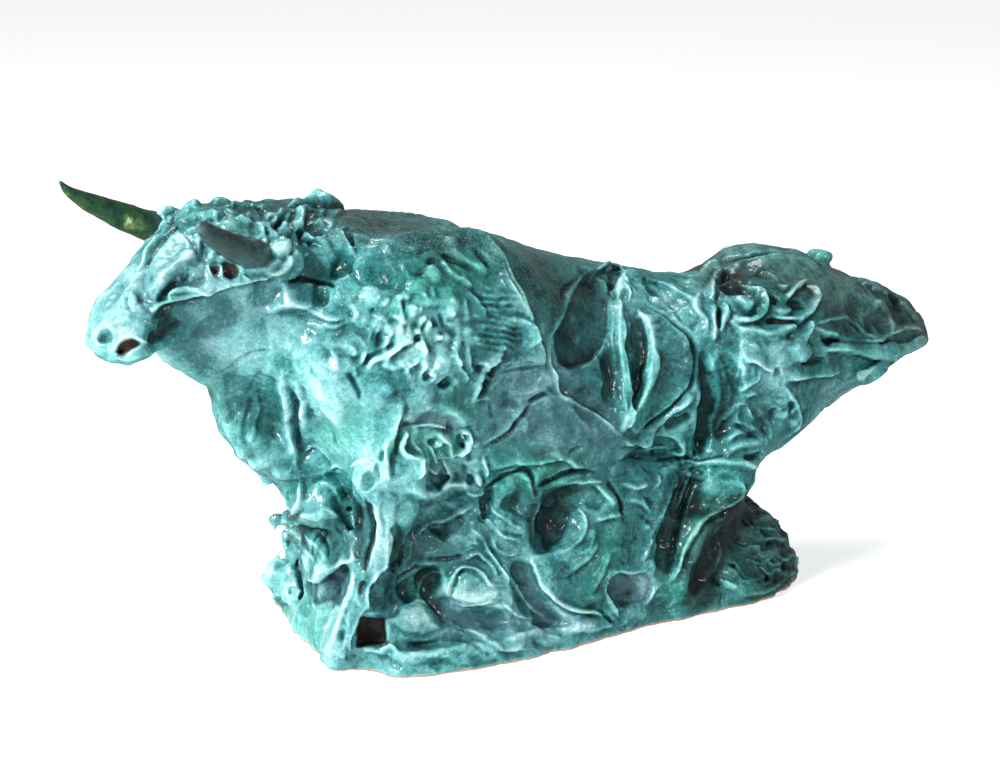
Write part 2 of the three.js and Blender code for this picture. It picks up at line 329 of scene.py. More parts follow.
def lay_forms():
    # trunk
    xloft([[-132, 5, 158, 30, 34, 38], [-118, 5, 168, 50, 60, 56], [-94, 5, 176, 60, 74, 72], [-60, 5, 176, 62, 74, 78], [-30, 5, 172, 61, 73, 78], [-8, 5, 166, 56, 64, 72]], k=10)
    xloft([[-24, 5, 158, 52, 62, 62], [-6, 5, 162, 60, 74, 72], [24, 5, 154, 59, 71, 68], [60, 5, 148, 56, 65, 64], [96, 5, 145, 54, 59, 60], [118, 5, 144, 48, 51, 52]], k=10)
    xloft([[104, 5, 146, 46, 51, 52], [124, 5, 146, 54, 49, 62], [150, 5, 147, 57, 48, 65], [182, 5, 150, 57, 56, 62], [212, 4, 150, 50, 51, 57], [242, 2, 148, 42, 39.5, 42], [268, 0, 144, 34, 33.5, 26], [290, -1, 141, 26, 25, 14], [301, -2, 139, 17, 16, 9]], k=10)
    xloft([[-202, -6, 214, 22, 20, 18], [-188, 0, 210, 34, 38, 31], [-166, 4, 202, 44, 52, 48], [-140, 5, 192, 50, 58, 58], [-116, 5, 186, 50, 54, 56], [-104, 5, 182, 40, 44, 46]], k=9, keel=0.25)
    roll([[-214, -6, 197, 7, 8, 7], [-198, -2, 184, 11, 14, 8], [-178, 2, 168, 14, 16, 8], [-169.5, 4, 145, 18, 18, 12], [-153.5, 6, 125.5, 21, 20, 12], [-136, 7, 109.5, 23, 20, 12.5]], k=12)
    xloft([[-188, 2, 260, 24, 10, 14], [-168, 3, 257, 34, 13, 20], [-140, 4, 254, 38, 15, 24], [-112, 5, 249, 38, 15, 24], [-84, 5, 240, 34, 13, 20], [-64, 5, 234, 24, 10, 14]], k=9)
    # ground
    s, X, Y, Z = clay.sub(GRID_LO, [GRID_HI[0], GRID_HI[1], 40])
    foot = [[x + (8 if x < -116 else 2 if x < -90 else 0), y - (0 if y > 0 or x < -110 else 7 if x < 30 else 4 if x < 85 else 1 if x < 130 else 4 if x < 170 else 1)] for x, y in BASE_OUTLINE]
    o = outline_distance(slab_outline(foot), X[:, :, 0], Y[:, :, 0])[:, :, None] + 2.0
    zz = np.maximum(Z - 13.0, -10 - Z)
    d = np.minimum(np.maximum(o, zz), 0) + np.sqrt(np.maximum(o, 0) ** 2 + np.maximum(zz, 0) ** 2) - 2.0
    put(s, d.astype(np.float32), 8)
    xloft([[-104, 10, 34, 36, 42, 32], [-90, 9, 40, 53, 60, 40], [-56, 7, 42, 61, 74, 42], [10, 6, 42, 63, 68, 42], [70, 5, 42, 61, 66, 42], [118, 4, 40, 56, 56, 40], [152, 3, 30, 44, 36, 30], [168, 2, 26, 30, 22, 26]], k=14, power=2.6)
    pad([157, -16, 17], [37, 37, 30], (0, 0, 18), k=8)
    pad([-112, 54, 20], [16, 21, 11], k=5)
    pad([-108, -22, 30], [24, 34, 42], k=12)
    pad([-98, -48, 22], [18, 14, 20], k=8)
    pad([-122, -8, 93], [20, 22, 16], k=8)
    # pads
    pad([-72, -44, 192], [74, 20, 62], (0, -14, 6), k=30)
    pad([-76, 54, 186], [72, 20, 58], (0, -14, -6), k=30)
    pad([146, -38, 142], [60, 22, 56], (0, 18, 0), k=26)
    pad([201, 46, 141], [31, 20, 58], (0, 8, 0), k=5)
    pad([6, -44, 124], [60, 20, 36], k=18)
    pad([6, 54, 124], [60, 20, 36], k=18)
    # clay heaped between the belly and the ground, and between the legs
    for side in (-1, 1):
        pad([16, MID + side * 47, 62], [108, 22, 44], k=16)
        pad([-92, MID + side * 30, 84], [24, 26, 56], (0, -8, 0), k=14)
        pad([20, MID + side * 54, 28], [112, 20, 26], k=14)
    pad([186, 10, 188], [32, 26, 18], (0, 6, 0), k=10)
    pad([-155, -33, 245], [12, 13, 13], k=5)
    pad([-190, 40, 251], [12, 12, 13], k=5)
    roll([[-114, 6, 258, 8, 8], [-114, 6, 267, 5, 5], [-114, 6, 271.5, 2.6, 2.6]], k=5, up=(1, 0, 0), step=3)
    # head
    roll([[-156, 6, 234, 30, 26, 26], [-174, 0, 240, 40, 29, 30], [-194, -7, 239, 37, 26, 31], [-216, -16, 231, 29, 24, 27], [-236, -23, 220, 24, 21, 20], [-248, -27, 211, 20, 15, 15], [-252, -29, 210, 14, 11, 12]], k=9, power=2.2)
    # legs
    roll([[-84, -40, 150, 16, 22], [-98, -52, 120, 17, 20], [-106, -54, 84, 12, 14], [-117, -50, 48, 12, 11], [-127, -45, 22, 11, 11], [-130, -43, 11, 10, 9]], k=9, up=(1, 0, 0), power=2.8)
    roll([[-94, 40, 136, 16, 20], [-100, 46, 108, 14, 15], [-103, 50, 80, 11, 12], [-99, 54, 48, 11, 12], [-98, 56, 22, 12, 12], [-98, 57, 11, 10, 10]], k=9, up=(1, 0, 0))
    pad([126, 6, 90], [26, 36, 22], k=6)
    pad([115, 43, 108], [25, 12, 20], k=5)
    roll([[146, -38, 120, 18, 26], [136, -46, 98, 16, 21], [118, -54, 70, 15, 19], [102, -57, 42, 13, 14], [90, -57, 18, 11, 11], [88, -57, 11, 10, 10]], k=10, up=(1, 0, 0))
    roll([[150, 46, 120, 18, 24], [152, 52, 94, 18, 22], [146, 54, 66, 14, 16], [132, 54, 38, 12, 13], [126, 54, 18, 11, 11], [125, 54, 11, 10, 10]], k=10, up=(1, 0, 0))


def carve_hollow():
    xloft([[-98, 5, 170, 30, 38, 38], [-60, 5, 172, 44, 54, 58], [20, 5, 154, 41, 48, 50], [90, 5, 147, 38, 40, 44], [170, 5, 148, 38, 40, 42], [214, 4, 150, 30, 32, 34], [240, 3, 148, 18, 20, 20]], k=4, cut=True)
    xloft([[-84, 6, 60, 34, 84, 84], [124, 5, 60, 34, 84, 84]], k=4, power=4.0, cut=True)


lay_forms()


# ------------------------------------------------------------------ drawing on the clay
def cast(px, py, f):
    """Where the line of sight through each picture point first meets the clay: points and whether they met it."""
    px, py = np.asarray(px, float), np.asarray(py, float)
    d = unit(-BACK * FOCAL + RIGHT * (px - PIC_W / 2)[:, None] + UP * (PIC_H / 2 - py)[:, None])
    t = np.full(len(px), 1250.0)
    done = np.zeros(len(px), bool)
    prev = t.copy()
    for _ in range(260):
        live = ~done & (t < 2050)
        if not live.any():
            break
        p = EYE + d[live] * t[live, None]
        v = clay.sample(p, f)
        inside = (p >= clay.lo).all(1) & (p <= clay.lo + clay.h * (clay.n - 1)).all(1)
        v = np.where(inside, v, 20)
        i = np.flatnonzero(live)
        hit = v <= 0
        done[i[hit]] = True
        go = i[~hit]
        prev[go] = t[go]
        t[go] += np.clip(0.6 * v[~hit], 0.6, 9)
    lo, hi = prev.copy(), t.copy()
    for _ in range(8):
        m = (lo + hi) / 2
        v = clay.sample(EYE + d * m[:, None], f)
        hi = np.where(v <= 0, m, hi)
        lo = np.where(v <= 0, lo, m)
    return hi, d, done


def smooth_line(a, times):
    for _ in range(times):
        b = a.copy()
        b[1:-1] = 0.25 * a[:-2] + 0.5 * a[1:-1] + 0.25 * a[2:]
        a = b
    return a


class Line:
    """A line on the clay: places, outward normals, and the share of the way along."""

    def __init__(self, P, N):
        self.P, self.N = P, N
        seg = np.linalg.norm(np.diff(P, axis=0), axis=1)
        self.s = np.concatenate([[0], np.cumsum(seg)])
        self.length = max(self.s[-1], 1e-3)
        self.s = self.s / self.length


def settle(P, f, times=7):
    """Moves points onto the surface of f."""
    for _ in range(times):
        g = clay.gradient(P, f, 2.0)
        P = P - g * np.clip(clay.sample(P, f), -8, 8)[:, None] * 0.8
    return P


SOFT = {}


def refresh(sigma_mm=3.0):
    """The clay as the next strokes see it, with the fine work smoothed away."""
    SOFT["f"] = soft_copy(clay.f, sigma_mm)


def parse(text):
    return np.array([[float(v) for v in w.split(",")] for w in text.split()])


def picture_line(text, step=4.0):
    """A line drawn in picture points, laid on the clay."""
    q = parse(text) if isinstance(text, str) else np.asarray(text, float)
    if len(q) > 1:
        q = spline(np.column_stack([q[:, :2], np.zeros(len(q)), q[:, 2:]]), step=step / 0.6)[:, :2]
    f = SOFT["f"]
    t, d, ok = cast(q[:, 0], q[:, 1], f)
    if not ok.any():
        return None
    t = np.interp(np.arange(len(t)), np.flatnonzero(ok), t[ok])
    if len(t) > 4:
        for _ in range(2):
            m = t.copy()
            m[1:-1] = np.median(np.stack([t[:-2], t[1:-1], t[2:]]), 0)
            t = m
        t = smooth_line(t, 2)
    P = EYE + d * t[:, None]
    N = unit(smooth_line(clay.gradient(P, f, 2.5), 3))
    return Line(P, N)


def space_line(points, step=4.0):
    """A line given in modelling millimetres, settled on the clay."""
    q = np.asarray(points, float)
    if len(q) > 1:
        q = spline(q, step=step)
    P = smooth_line(settle(q[:, :3], SOFT["f"]), 2)
    return Line(P, unit(smooth_line(clay.gradient(P, SOFT["f"], 2.5), 3)))


def middle(x):
    """Where the bull's middle plane stands at x: the head is turned to its left."""
    return np.interp(x, [-264, -241, -221, -198, -176, -156, -140], [-31, -24, -17, -8, 0, 4, MID])


def mirror_line(line, shift=(0, 0, 0)):
    """The same line on the bull's other side."""
    P = line.P.copy()
    P[:, 1] = 2 * middle(P[:, 0]) - P[:, 1]
    P = P + np.array(shift)
    P = smooth_line(settle(P, SOFT["f"], 9), 2)
    return Line(P[::-1].copy(), unit(smooth_line(clay.gradient(P, SOFT["f"], 2.5), 3))[::-1].copy())


def taper(s, a=0.22, b=0.22):
    up = np.clip(s / a, 0, 1) if a > 0 else np.ones_like(s)
    dn = np.clip((1 - s) / b, 0, 1) if b > 0 else np.ones_like(s)
    k = np.minimum(up, dn)
    return k * (2 - k)


def near(line, half, reach, lift=0.0):
    """For the voxels round a line: across it, along its normal, past its ends, and the share of the way along."""
    P = line.P + line.N * lift
    n = len(P)
    T = unit(np.gradient(P, axis=0)) if n > 1 else np.array([[1.0, 0, 0]])
    B = unit(np.cross(T, line.N))
    N = unit(np.cross(B, T))
    m = float(np.max(half)) * 1.35 + reach
    s, X, Y, Z = clay.sub(P.min(0) - m, P.max(0) + m)
    base = [q.start for q in s]
    shape = tuple(q.stop - q.start for q in s)
    best = np.full(shape, 1e9, np.float32)
    U, V, A, Q = (np.zeros(shape, np.float32) for _ in range(4))
    for i in range(n - 1):
        a0, b0 = P[i], P[i + 1]
        ss, x, y, z = clay.sub(np.minimum(a0, b0) - m, np.maximum(a0, b0) + m)
        D = b0 - a0
        L = np.linalg.norm(D)
        if L < 1e-6:
            continue
        D = D / L
        dx, dy, dz = x - a0[0], y - a0[1], z - a0[2]
        a = dx * D[0] + dy * D[1] + dz * D[2]
        t = np.clip(a / L, 0, 1)
        over = a - t * L
        ox, oy, oz = dx - D[0] * t * L, dy - D[1] * t * L, dz - D[2] * t * L
        bb = [B[i][k] + (B[i + 1][k] - B[i][k]) * t for k in range(3)]
        nn = [N[i][k] + (N[i + 1][k] - N[i][k]) * t for k in range(3)]
        u = ox * bb[0] + oy * bb[1] + oz * bb[2]
        v = ox * nn[0] + oy * nn[1] + oz * nn[2]
        r2 = ox * ox + oy * oy + oz * oz
        loc = tuple(slice(q.start - c, q.stop - c) for q, c in zip(ss, base))
        cur = best[loc]
        w = r2 < cur
        cur[w] = np.broadcast_to(r2, cur.shape)[w]
        U[loc][w] = u[w]
        V[loc][w] = v[w]
        A[loc][w] = np.broadcast_to(over, w.shape)[w]
        Q[loc][w] = np.broadcast_to(line.s[i] + (line.s[i + 1] - line.s[i]) * t, w.shape)[w]
    return s, best, U, V, A, Q


def along(values, Q, s):
    return np.interp(Q, s, values).astype(np.float32)


def wobble(n, amount):
    """A slow random factor along a line."""
    if n < 2:
        return np.ones(n)
    k = RNG.normal(0, 1, max(3, n // 3 + 2))
    return 1 + amount * np.interp(np.linspace(0, 1, n), np.linspace(0, 1, len(k)), k)


def mark(line, kind, w, h, ends=(0.22, 0.22), sharp=1.0, rim=0.0, pitch=0.0, tilt=0.0, thick=2.6, bend=0.0, lift=0.0, k=1.6, rough=0.12, reach=0.0):
    """One stroke. w is its width and h its height or depth in mm. Kinds: r ridge, c crest, g groove, s step that drops on the right of the way drawn,
    d dish, m dab that rises to its end, w row of comb lines, b ribbon of clay, t roll, x cut roll."""
    if line is None or line.length < 1.0:
        return
    n = len(line.P)
    sh = taper(line.s, *ends)
    W = 0.5 * w * wobble(n, rough) * (0.45 + 0.55 * sh)
    Hh = h * wobble(n, rough) * sh
    if kind in "btx":
        far = float(W.max()) + thick + abs(h) + 6
        s, best, U, V, A, Q = near(line, W, far, 0.0)
        q = Q
        hw, hh = along(W, q, line.s), along(np.maximum(Hh, 0.35 * abs(h) if kind == "b" else 0), q, line.s)
        if kind == "b":
            # a plate hw wide and thick deep, turned by tilt and raised by h
            c, sn = math.cos(math.radians(tilt)), math.sin(math.radians(tilt))
            v0 = V - hh
            u1, v1 = c * U + sn * v0, -sn * U + c * v0
            v1 = v1 - bend * (u1 / np.maximum(hw, 0.5)) ** 2
            th = thick * 0.5 * (0.5 + 0.5 * along(sh, q, line.s))
            qu, qv = np.abs(u1) - hw + th, np.abs(v1) - th * 0.3
            d = np.sqrt(np.maximum(qu, 0) ** 2 + np.maximum(qv, 0) ** 2 + A * A) + np.minimum(np.maximum(qu, qv), 0) - th * 0.7
        else:
            # a pinched roll: half round, half a roof, with its edge up
            rad = along(W * np.maximum(sh, 0.25), q, line.s)
            vv = V - hh - lift
            rnd = np.sqrt(U**2 + vv**2 + A**2)
            roof = 0.62 * (np.abs(U) + np.abs(vv)) * 1.25 + 0.5 * np.abs(A)
            d = 0.35 * rnd + 0.65 * roof - rad
        d = np.where(best < 1e8, d, 60).astype(np.float32)
        f = clay.f[s]
        clay.f[s] = smax(f, -d, k) if kind == "x" else smin(f, d, k)
        return
    far = reach or max(9.0, 2.2 * abs(h) + 4)
    if kind in "rc":
        W = W * (1.2 if kind == "r" else 0.85)
    s, best, U, V, A, Q = near(line, W, far)
    hw, hh = along(W, Q, line.s), along(Hh, Q, line.s)
    # ridges lean: a long slope to the head and sky, a short steep one to the tail and ground
    T = unit(np.gradient(line.P, axis=0))
    lee = 1.0 if float((np.cross(T, line.N) @ np.array([0.55, 0.0, -0.85])).mean()) >= 0 else -1.0
    if kind in "rcgdmw":
        q = np.sqrt(U * U + A * A) / np.maximum(hw, 0.4)
    else:
        q = U / np.maximum(hw, 0.4)
    if kind in "rc":
        u = lee * U / np.maximum(hw, 0.4)
        over = np.abs(A) / np.maximum(hw, 0.4)
        a, b = (1.7, 1.0) if kind == "r" else (2.3, 0.8)
        long_ = np.clip(1 + u / 1.35, 0, 1) ** (a * sharp)
        steep = np.clip(1 - u / (0.55 if kind == "r" else 0.38), 0, 1) ** b
        H = hh * np.where(u <= 0, long_, steep) * np.clip(1 - over * over, 0, 1)
        H = H - 0.28 * hh * np.exp(-(((u - 0.72) / 0.22) ** 2)) * np.clip(1 - over * over, 0, 1)
    elif kind == "g":
        H = -hh * np.clip(1 - q ** (2 / sharp), 0, 1)
    elif kind == "d":
        H = -hh * np.clip(1 - q * q, 0, 1) ** (0.8 * sharp)
    elif kind == "m":
        ramp = np.clip(Q, 0, 1) ** 0.8 * (0.25 + 0.75 * np.clip(hh / max(abs(h), 1e-3), 0, 1))
        H = 0.8 * h * np.clip(1 - q * q, 0, 1) ** (0.8 * sharp) * ramp
    elif kind == "w":
        H = hh * np.cos(2 * np.pi * U / pitch) * np.clip(1 - q * q, 0, 1) ** 0.5
    else:  # s
        up = np.clip(1 + q, 0, 1) ** (1.4 / sharp)
        H = np.where((q <= 0) & (q > -1), hh * up, 0) - np.where(q > 0, 0.35 * hh * np.exp(-((q / 0.16) ** 2)), 0)
        H = H * (np.abs(A) < 0.8)
    if rim:
        H = H + rim * (hh / max(abs(h), 1e-3)) * np.exp(-(((np.abs(q) - 1.02) / 0.2) ** 2))
    a = np.abs(V)
    win = np.clip((far - a) / (far * 0.5), 0, 1)
    H = np.where(best < 1e8, H * win, 0)
    clay.f[s] -= H.astype(np.float32)


def S(kind, w, h, text, both=True, **o):
    """A stroke drawn in the picture, and its like on the far side unless both is False."""
    line = picture_line(text)
    if line is None:
        return
    mark(line, kind, w, h, **o)
    if both and line.P[:, 1].mean() < -8 and line.N[:, 2].mean() < 0.6 and not (80 < line.P[:, 0].mean() < 155 and line.P[:, 2].mean() > 182):
        sh = (RNG.uniform(-5, 5), 0, RNG.uniform(-3, 3))
        o = dict(o)
        if kind == "s" or kind == "b":
            pass  # the mirrored line runs the other way, so the drop stays on its outer side
        mark(mirror_line(line, sh), kind, w * RNG.uniform(0.9, 1.15), h * RNG.uniform(0.85, 1.1), **o)


def inside_polygon(poly, x, y):
    r = np.zeros(len(x), bool)
    for (ax, ay), (bx, by) in zip(poly, np.roll(poly, -1, 0)):
        c = (ay <= y) != (by <= y)
        r ^= c & (x < ax + (y - ay) / (by - ay + 1e-12) * (bx - ax))
    return r


def scatter(polygon, count, length, width, height, heading, kind="m", spread=35.0, curl=25.0, both=True, **o):
    """Dabs strewn over a part of the picture. heading is degrees in the picture, 0 to the right and 90 down."""
    poly = parse(polygon)
    lo, hi = poly.min(0), poly.max(0)
    made = 0
    tries = 0
    while made < count and tries < count * 30:
        tries += 1
        c = RNG.uniform(lo, hi)
        a = math.radians(heading + RNG.normal(0, spread))
        L = RNG.uniform(*length) / 0.6
        cu = math.radians(RNG.normal(0, curl))
        w, h = RNG.uniform(*width), RNG.uniform(*height)
        if not inside_polygon(poly, c[:1], c[1:])[0]:
            continue
        made += 1
        m = c + np.array([math.cos(a), math.sin(a)]) * L * 0.5
        e = m + np.array([math.cos(a + cu), math.sin(a + cu)]) * L * 0.5
        kk = kind if len(kind) == 1 else kind[int(RNG.integers(len(kind)))]
        S(kk, w, h, [c, m, e], both=both, **o)


def blob_at(P, Nrm, e1, a, b, n, sink, cut, k, boxy=False):
    e1 = unit((e1 - Nrm * (e1 @ Nrm))[None])[0]
    e2 = np.cross(Nrm, e1)
    c = P + Nrm * (n * sink if cut else -n * sink)
    m = max(a, b, n) + 7
    s, X, Y, Z = clay.sub(c - m, c + m)
    dx, dy, dz = X - c[0], Y - c[1], Z - c[2]
    q = [e[0] * dx + e[1] * dy + e[2] * dz for e in (e1, e2, Nrm)]
    if boxy:
        d = np.maximum(np.maximum(np.abs(q[0]) - a, np.abs(q[1]) - b), np.abs(q[2]) - n)
    else:
        d = ellipsoid_d(*q, a, b, n)
    put(s, d.astype(np.float32), k, cut)


def B(x, y, a, b, n, turn=0.0, cut=False, sink=0.35, k=2.0, both=True, boxy=False):
    """A lump of clay, or with cut a hollow, at a picture point: half-sizes a and b along the surface and n into it, in mm."""
    f = SOFT["f"]
    t, d, ok = cast([x], [y], f)
    if not ok[0]:
        r = np.concatenate([[[i * math.cos(w), i * math.sin(w)] for w in np.linspace(0, 6.28, 12, endpoint=False)] for i in (3, 6, 10, 15, 20)])
        t2, _, ok2 = cast(x + r[:, 0], y + r[:, 1], f)
        if not ok2.any():
            return
        t = t2[np.flatnonzero(ok2)[:1]]
    P = EYE + d[0] * t[0]
    g = clay.gradient(P[None], f, 2.5)[0]
    w = math.radians(turn)
    e1 = RIGHT * math.cos(w) - UP * math.sin(w)
    blob_at(P, g, e1, a, b, n, sink, cut, k, boxy)
    if both and P[1] < -8 and g[2] < 0.6 and not (80 < P[0] < 155 and P[2] > 182):
        sh = np.array([RNG.uniform(-5, 5), 0, RNG.uniform(-3, 3)])
        z = RNG.uniform(0.85, 1.15)
        M = P.copy()
        M[1] = 2 * middle(P[0]) - P[1]
        M = settle((M + sh)[None], f, 9)
        gm = clay.gradient(M, f, 2.5)[0]
        blob_at(M[0], gm, e1 * [1, -1, 1], a * z, b * z, n, sink, cut, k, boxy)


def pits(polygon, count, size, depth, both=True):
    """Small slits torn in the clay over a part of the picture."""
    poly = parse(polygon)
    lo, hi = poly.min(0), poly.max(0)
    made = tries = 0
    while made < count and tries < count * 30:
        tries += 1
        c = RNG.uniform(lo, hi)
        a, b, w, dd = RNG.uniform(*size) * 1.3, RNG.uniform(0.25, 0.6), RNG.uniform(0, 180), RNG.uniform(*depth)
        if inside_polygon(poly, c[:1], c[1:])[0]:
            B(c[0], c[1], a, max(a * b, 0.7), dd, turn=w, cut=True, sink=0.05, k=0.8, both=both)
            made += 1


def lumps(polygon, count, size, height, both=True, k=1.6):
    """Pellets and overlapping dabs of clay pressed on over a part of the picture."""
    poly = parse(polygon)
    lo, hi = poly.min(0), poly.max(0)
    made = tries = 0
    while made < count and tries < count * 30:
        tries += 1
        c = RNG.uniform(lo, hi)
        a, b, w, hh = RNG.uniform(*size), RNG.uniform(0.45, 1.0), RNG.uniform(0, 360), RNG.uniform(*height)
        if inside_polygon(poly, c[:1], c[1:])[0]:
            made += 1
            if made % 3 == 0:
                B(c[0], c[1], a, a * b, hh, turn=w, sink=0.35, k=k, both=both)
            else:
                e = np.array([math.cos(math.radians(w)), math.sin(math.radians(w))]) * a * 2.2
                S("m" if made % 3 == 1 else "c", a * 2.4 * b, hh * 1.15, [c - e * 0.5, c + e * 0.1 + RNG.normal(0, 1, 2), c + e * 0.5], both=both, ends=(0.3, 0.06))


def polygon_depth(poly, x, y):
    """How far inside a polygon points lie, in its own units; negative outside."""
    best = np.full(x.shape, 1e9, np.float32)
    inside = np.zeros(x.shape, bool)
    for (ax, ay), (bx, by) in zip(poly, np.roll(poly, -1, 0)):
        ex, ey = bx - ax, by - ay
        wx, wy = x - ax, y - ay
        t = np.clip((wx * ex + wy * ey) / (ex * ex + ey * ey + 1e-9), 0, 1)
        best = np.minimum(best, (wx - ex * t) ** 2 + (wy - ey * t) ** 2)
        c = (ay <= y) != (by <= y)
        inside ^= c & (x < ax + (y - ay) / (by - ay + 1e-12) * ex)
    return np.where(inside, 1.0, -1.0) * np.sqrt(best)


def patch(text, h, edge=1.2, to=None, flat=0.0, reach=10.0, both=True, ragged=0.8):
    """A plate of clay laid on, or with h below nothing a bed pressed in, with a clean edge, over an outline drawn in the picture.
    edge is the width of its rim in mm. to gives the height at the outline's right end where it differs from the left, flat presses it towards a plane."""
    poly = parse(text)
    lo, hi = poly.min(0) - 4, poly.max(0) + 4
    gx, gy = np.arange(lo[0], hi[0] + 2, 2.0), np.arange(lo[1], hi[1] + 2, 2.0)
    PX, PY = np.meshgrid(gx, gy, indexing="ij")
    t, d, ok = cast(PX.ravel(), PY.ravel(), SOFT["f"])
    if not ok.any():
        return
    P = (EYE + d * t[:, None])[ok]
    D = np.where(ok, t, np.nan).reshape(PX.shape)
    for _ in range(40):
        if not np.isnan(D).any():
            break
        for ax in (0, 1):
            for step in (1, -1):
                N = np.roll(D, step, ax)
                D = np.where(np.isnan(D), N, D)
    inside_hits = polygon_depth(poly, PX.ravel()[ok], PY.ravel()[ok]) > 0
    Q = P[inside_hits] if inside_hits.sum() > 6 else P
    c0 = Q.mean(0)
    nrm = np.linalg.svd(Q - c0, full_matrices=False)[2][2]
    nrm = nrm * np.sign(nrm @ BACK)
    m = reach + abs(h)
    side = 1 if P[:, 1].mean() < -8 else 0
    for flipped in ((False, True) if both and side and clay.gradient(c0[None], SOFT["f"], 2.5)[0][2] < 0.6 else (False,)):
        a, b = P.min(0) - m, P.max(0) + m
        if flipped:
            mid = middle(c0[0])
            a[1], b[1] = 2 * mid - b[1], 2 * mid - a[1]
        s, X, Y, Z = clay.sub(a, b)
        if flipped:
            Y = 2 * mid - Y
        rx, ry, rz = X - EYE[0], Y - EYE[1], Z - EYE[2]
        zc = -(rx * BACK[0] + ry * BACK[1] + rz * BACK[2])
        u = 500 + FOCAL * (rx * RIGHT[0] + ry * RIGHT[1] + rz * RIGHT[2]) / zc
        v = 383 - FOCAL * (rx * UP[0] + ry * UP[1] + rz * UP[2]) / zc
        if ragged:
            w1 = np.sin(u * 0.31 + v * 0.17) * np.sin(v * 0.43 - u * 0.11) + 0.6 * np.sin(u * 0.83 + 1.3) * np.sin(v * 0.71 + 0.4)
            u2, v2 = u + ragged * w1, v - 0.7 * ragged * w1
        else:
            u2, v2 = u, v
        e = polygon_depth(poly, u2, v2) * 0.6
        k = np.clip(e / edge + 0.5, 0, 1)
        k = k * k * (3 - 2 * k)
        qi, qj = np.clip((u - gx[0]) / 2, 0, len(gx) - 1.01), np.clip((v - gy[0]) / 2, 0, len(gy) - 1.01)
        i, j = qi.astype(int), qj.astype(int)
        fi, fj = qi - i, qj - j
        dm = D[i, j] * (1 - fi) * (1 - fj) + D[i + 1, j] * fi * (1 - fj) + D[i, j + 1] * (1 - fi) * fj + D[i + 1, j + 1] * fi * fj
        diff = np.sqrt(rx * rx + ry * ry + rz * rz) - dm
        win = np.clip((m - np.abs(diff)) / 4.0, 0, 1) * k
        hh = h if to is None else h + (to - h) * np.clip((u - poly[:, 0].min()) / (np.ptp(poly[:, 0]) + 1e-6), 0, 1)
        f = clay.f[s]
        if flat:
            plane = (X - c0[0]) * nrm[0] + (Y - c0[1]) * nrm[1] + (Z - c0[2]) * nrm[2]
            f = f + (plane - f) * (flat * win)
        clay.f[s] = (f - hh * win).astype(np.float32)



# ------------------------------------------------------------------ the strokes
# Large sweeps first: scoops, dishes and folds.
refresh(4.0)

# neck, chest and throat
S("d", 34, 5, "160,330 185,322 215,318 245,322", ends=(0.2, 0.3))
S("s", 22, 4.5, "150,322 160,308 175,302 195,298 212,295 225,288 245,283 285,279")
S("d", 16, 2.5, "165,285 158,300 150,318", ends=(0.3, 0.3))
S("d", 15, 1.4, "268,372 267,395 269,420 275,452", ends=(0.3, 0.3))
B(318, 464, 12, 10, 7)
B(318, 494, 18, 13, 8)
B(362, 478, 10, 11, 6)
S("d", 30, 2.0, "240,360 238,385 240,412 252,440", ends=(0.4, 0.4))
S("d", 22, 6, "336,572 326,598 316,622")
# mantle of the shoulder over the back
S("s", 30, 6, "545,368 541,350 533,332 530,318 526,308 519,298 511,282 504,265 498,254 488,243 476,230")
S("s", 30, 5, "272,309 300,311 318,318 332,322 352,320", ends=(0.15, 0.3))
# flank: the oval dish, the two standing folds and the leaf
S("d", 34, 6, "603,272 597,300 588,330 575,356", ends=(0.1, 0.2))
S("d", 26, 4, "575,385 590,400 612,415", ends=(0.3, 0.3))
S("s", 34, 4, "640,309 638,317 645,328 648,340 647,356 644,374 640,390 632,407 624,424", ends=(0.12, 0.2))
S("d", 14, 2.5, "634,315 638,345 638,370 633,395 627,418", ends=(0.15, 0.2))
S("d", 18, 4, "606,300 607,340 612,380 616,410")
S("r", 9.5, 6.5, "621,296 619,315 620,340 622,365 626,392 627,412 622,432", ends=(0.12, 0.2))
S("g", 12, 8, "700,350 707,375 708,402 703,432 698,455", ends=(0.3, 0.2))
S("d", 20, 6, "722,352 730,385 722,420 714,440")
# rump: planes and the seat of the tail
S("d", 34, 5, "770,382 764,405 776,430", ends=(0.2, 0.2))
S("d", 30, 4, "820,385 800,405 790,420")
S("d", 26, 4, "845,300 870,318 880,330", ends=(0.3, 0.3))
S("d", 28, 3, "850,372 830,390 815,405", ends=(0.3, 0.3))
# hind leg
S("d", 30, 6, "700,462 686,490 675,512 667,540 662,572", ends=(0.25, 0.25))
S("d", 24, 7, "738,480 724,494 709,508 698,522", ends=(0.25, 0.3))
S("r", 15, 4, "684,470 671,495 662,520 656,548 652,578", ends=(0.2, 0.2))
B(752, 457, 9, 2.6, 7, turn=-8, cut=True, sink=0.2)
# ground: bowl, channels and scoops
B(556, 522, 22, 16, 15, turn=-55, cut=True, sink=0.25, k=4)
S("d", 18, 7, "520,558 525,580 535,602 552,620 575,632", ends=(0.15, 0.3))
S("d", 16, 7, "428,566 429,590 440,608 462,617 492,619 520,622", ends=(0.15, 0.3))
B(628, 591, 13, 10, 6, turn=25, cut=True, sink=0.3, k=2)
S("d", 22, 5, "455,508 445,520 430,530", ends=(0.2, 0.2))
B(486, 505, 5, 11, 9, turn=8, cut=True, sink=0.2, k=2)
S("d", 26, 5, "508,490 520,505 515,520", ends=(0.2, 0.2))
# foreleg and knee
S("g", 4, 5, "368,500 371,515 372,535 370,553 366,570", ends=(0.15, 0.3))
S("d", 20, 4, "400,600 420,585 440,590", ends=(0.2, 0.2))
S("d", 22, 2.5, "340,490 352,505 358,530", ends=(0.2, 0.2))
# rear rock
S("d", 22, 5, "722,520 716,545 704,572 690,596", ends=(0.3, 0.35))
# Plates, beds and pressed planes, each with a clean edge.
refresh(2.6)
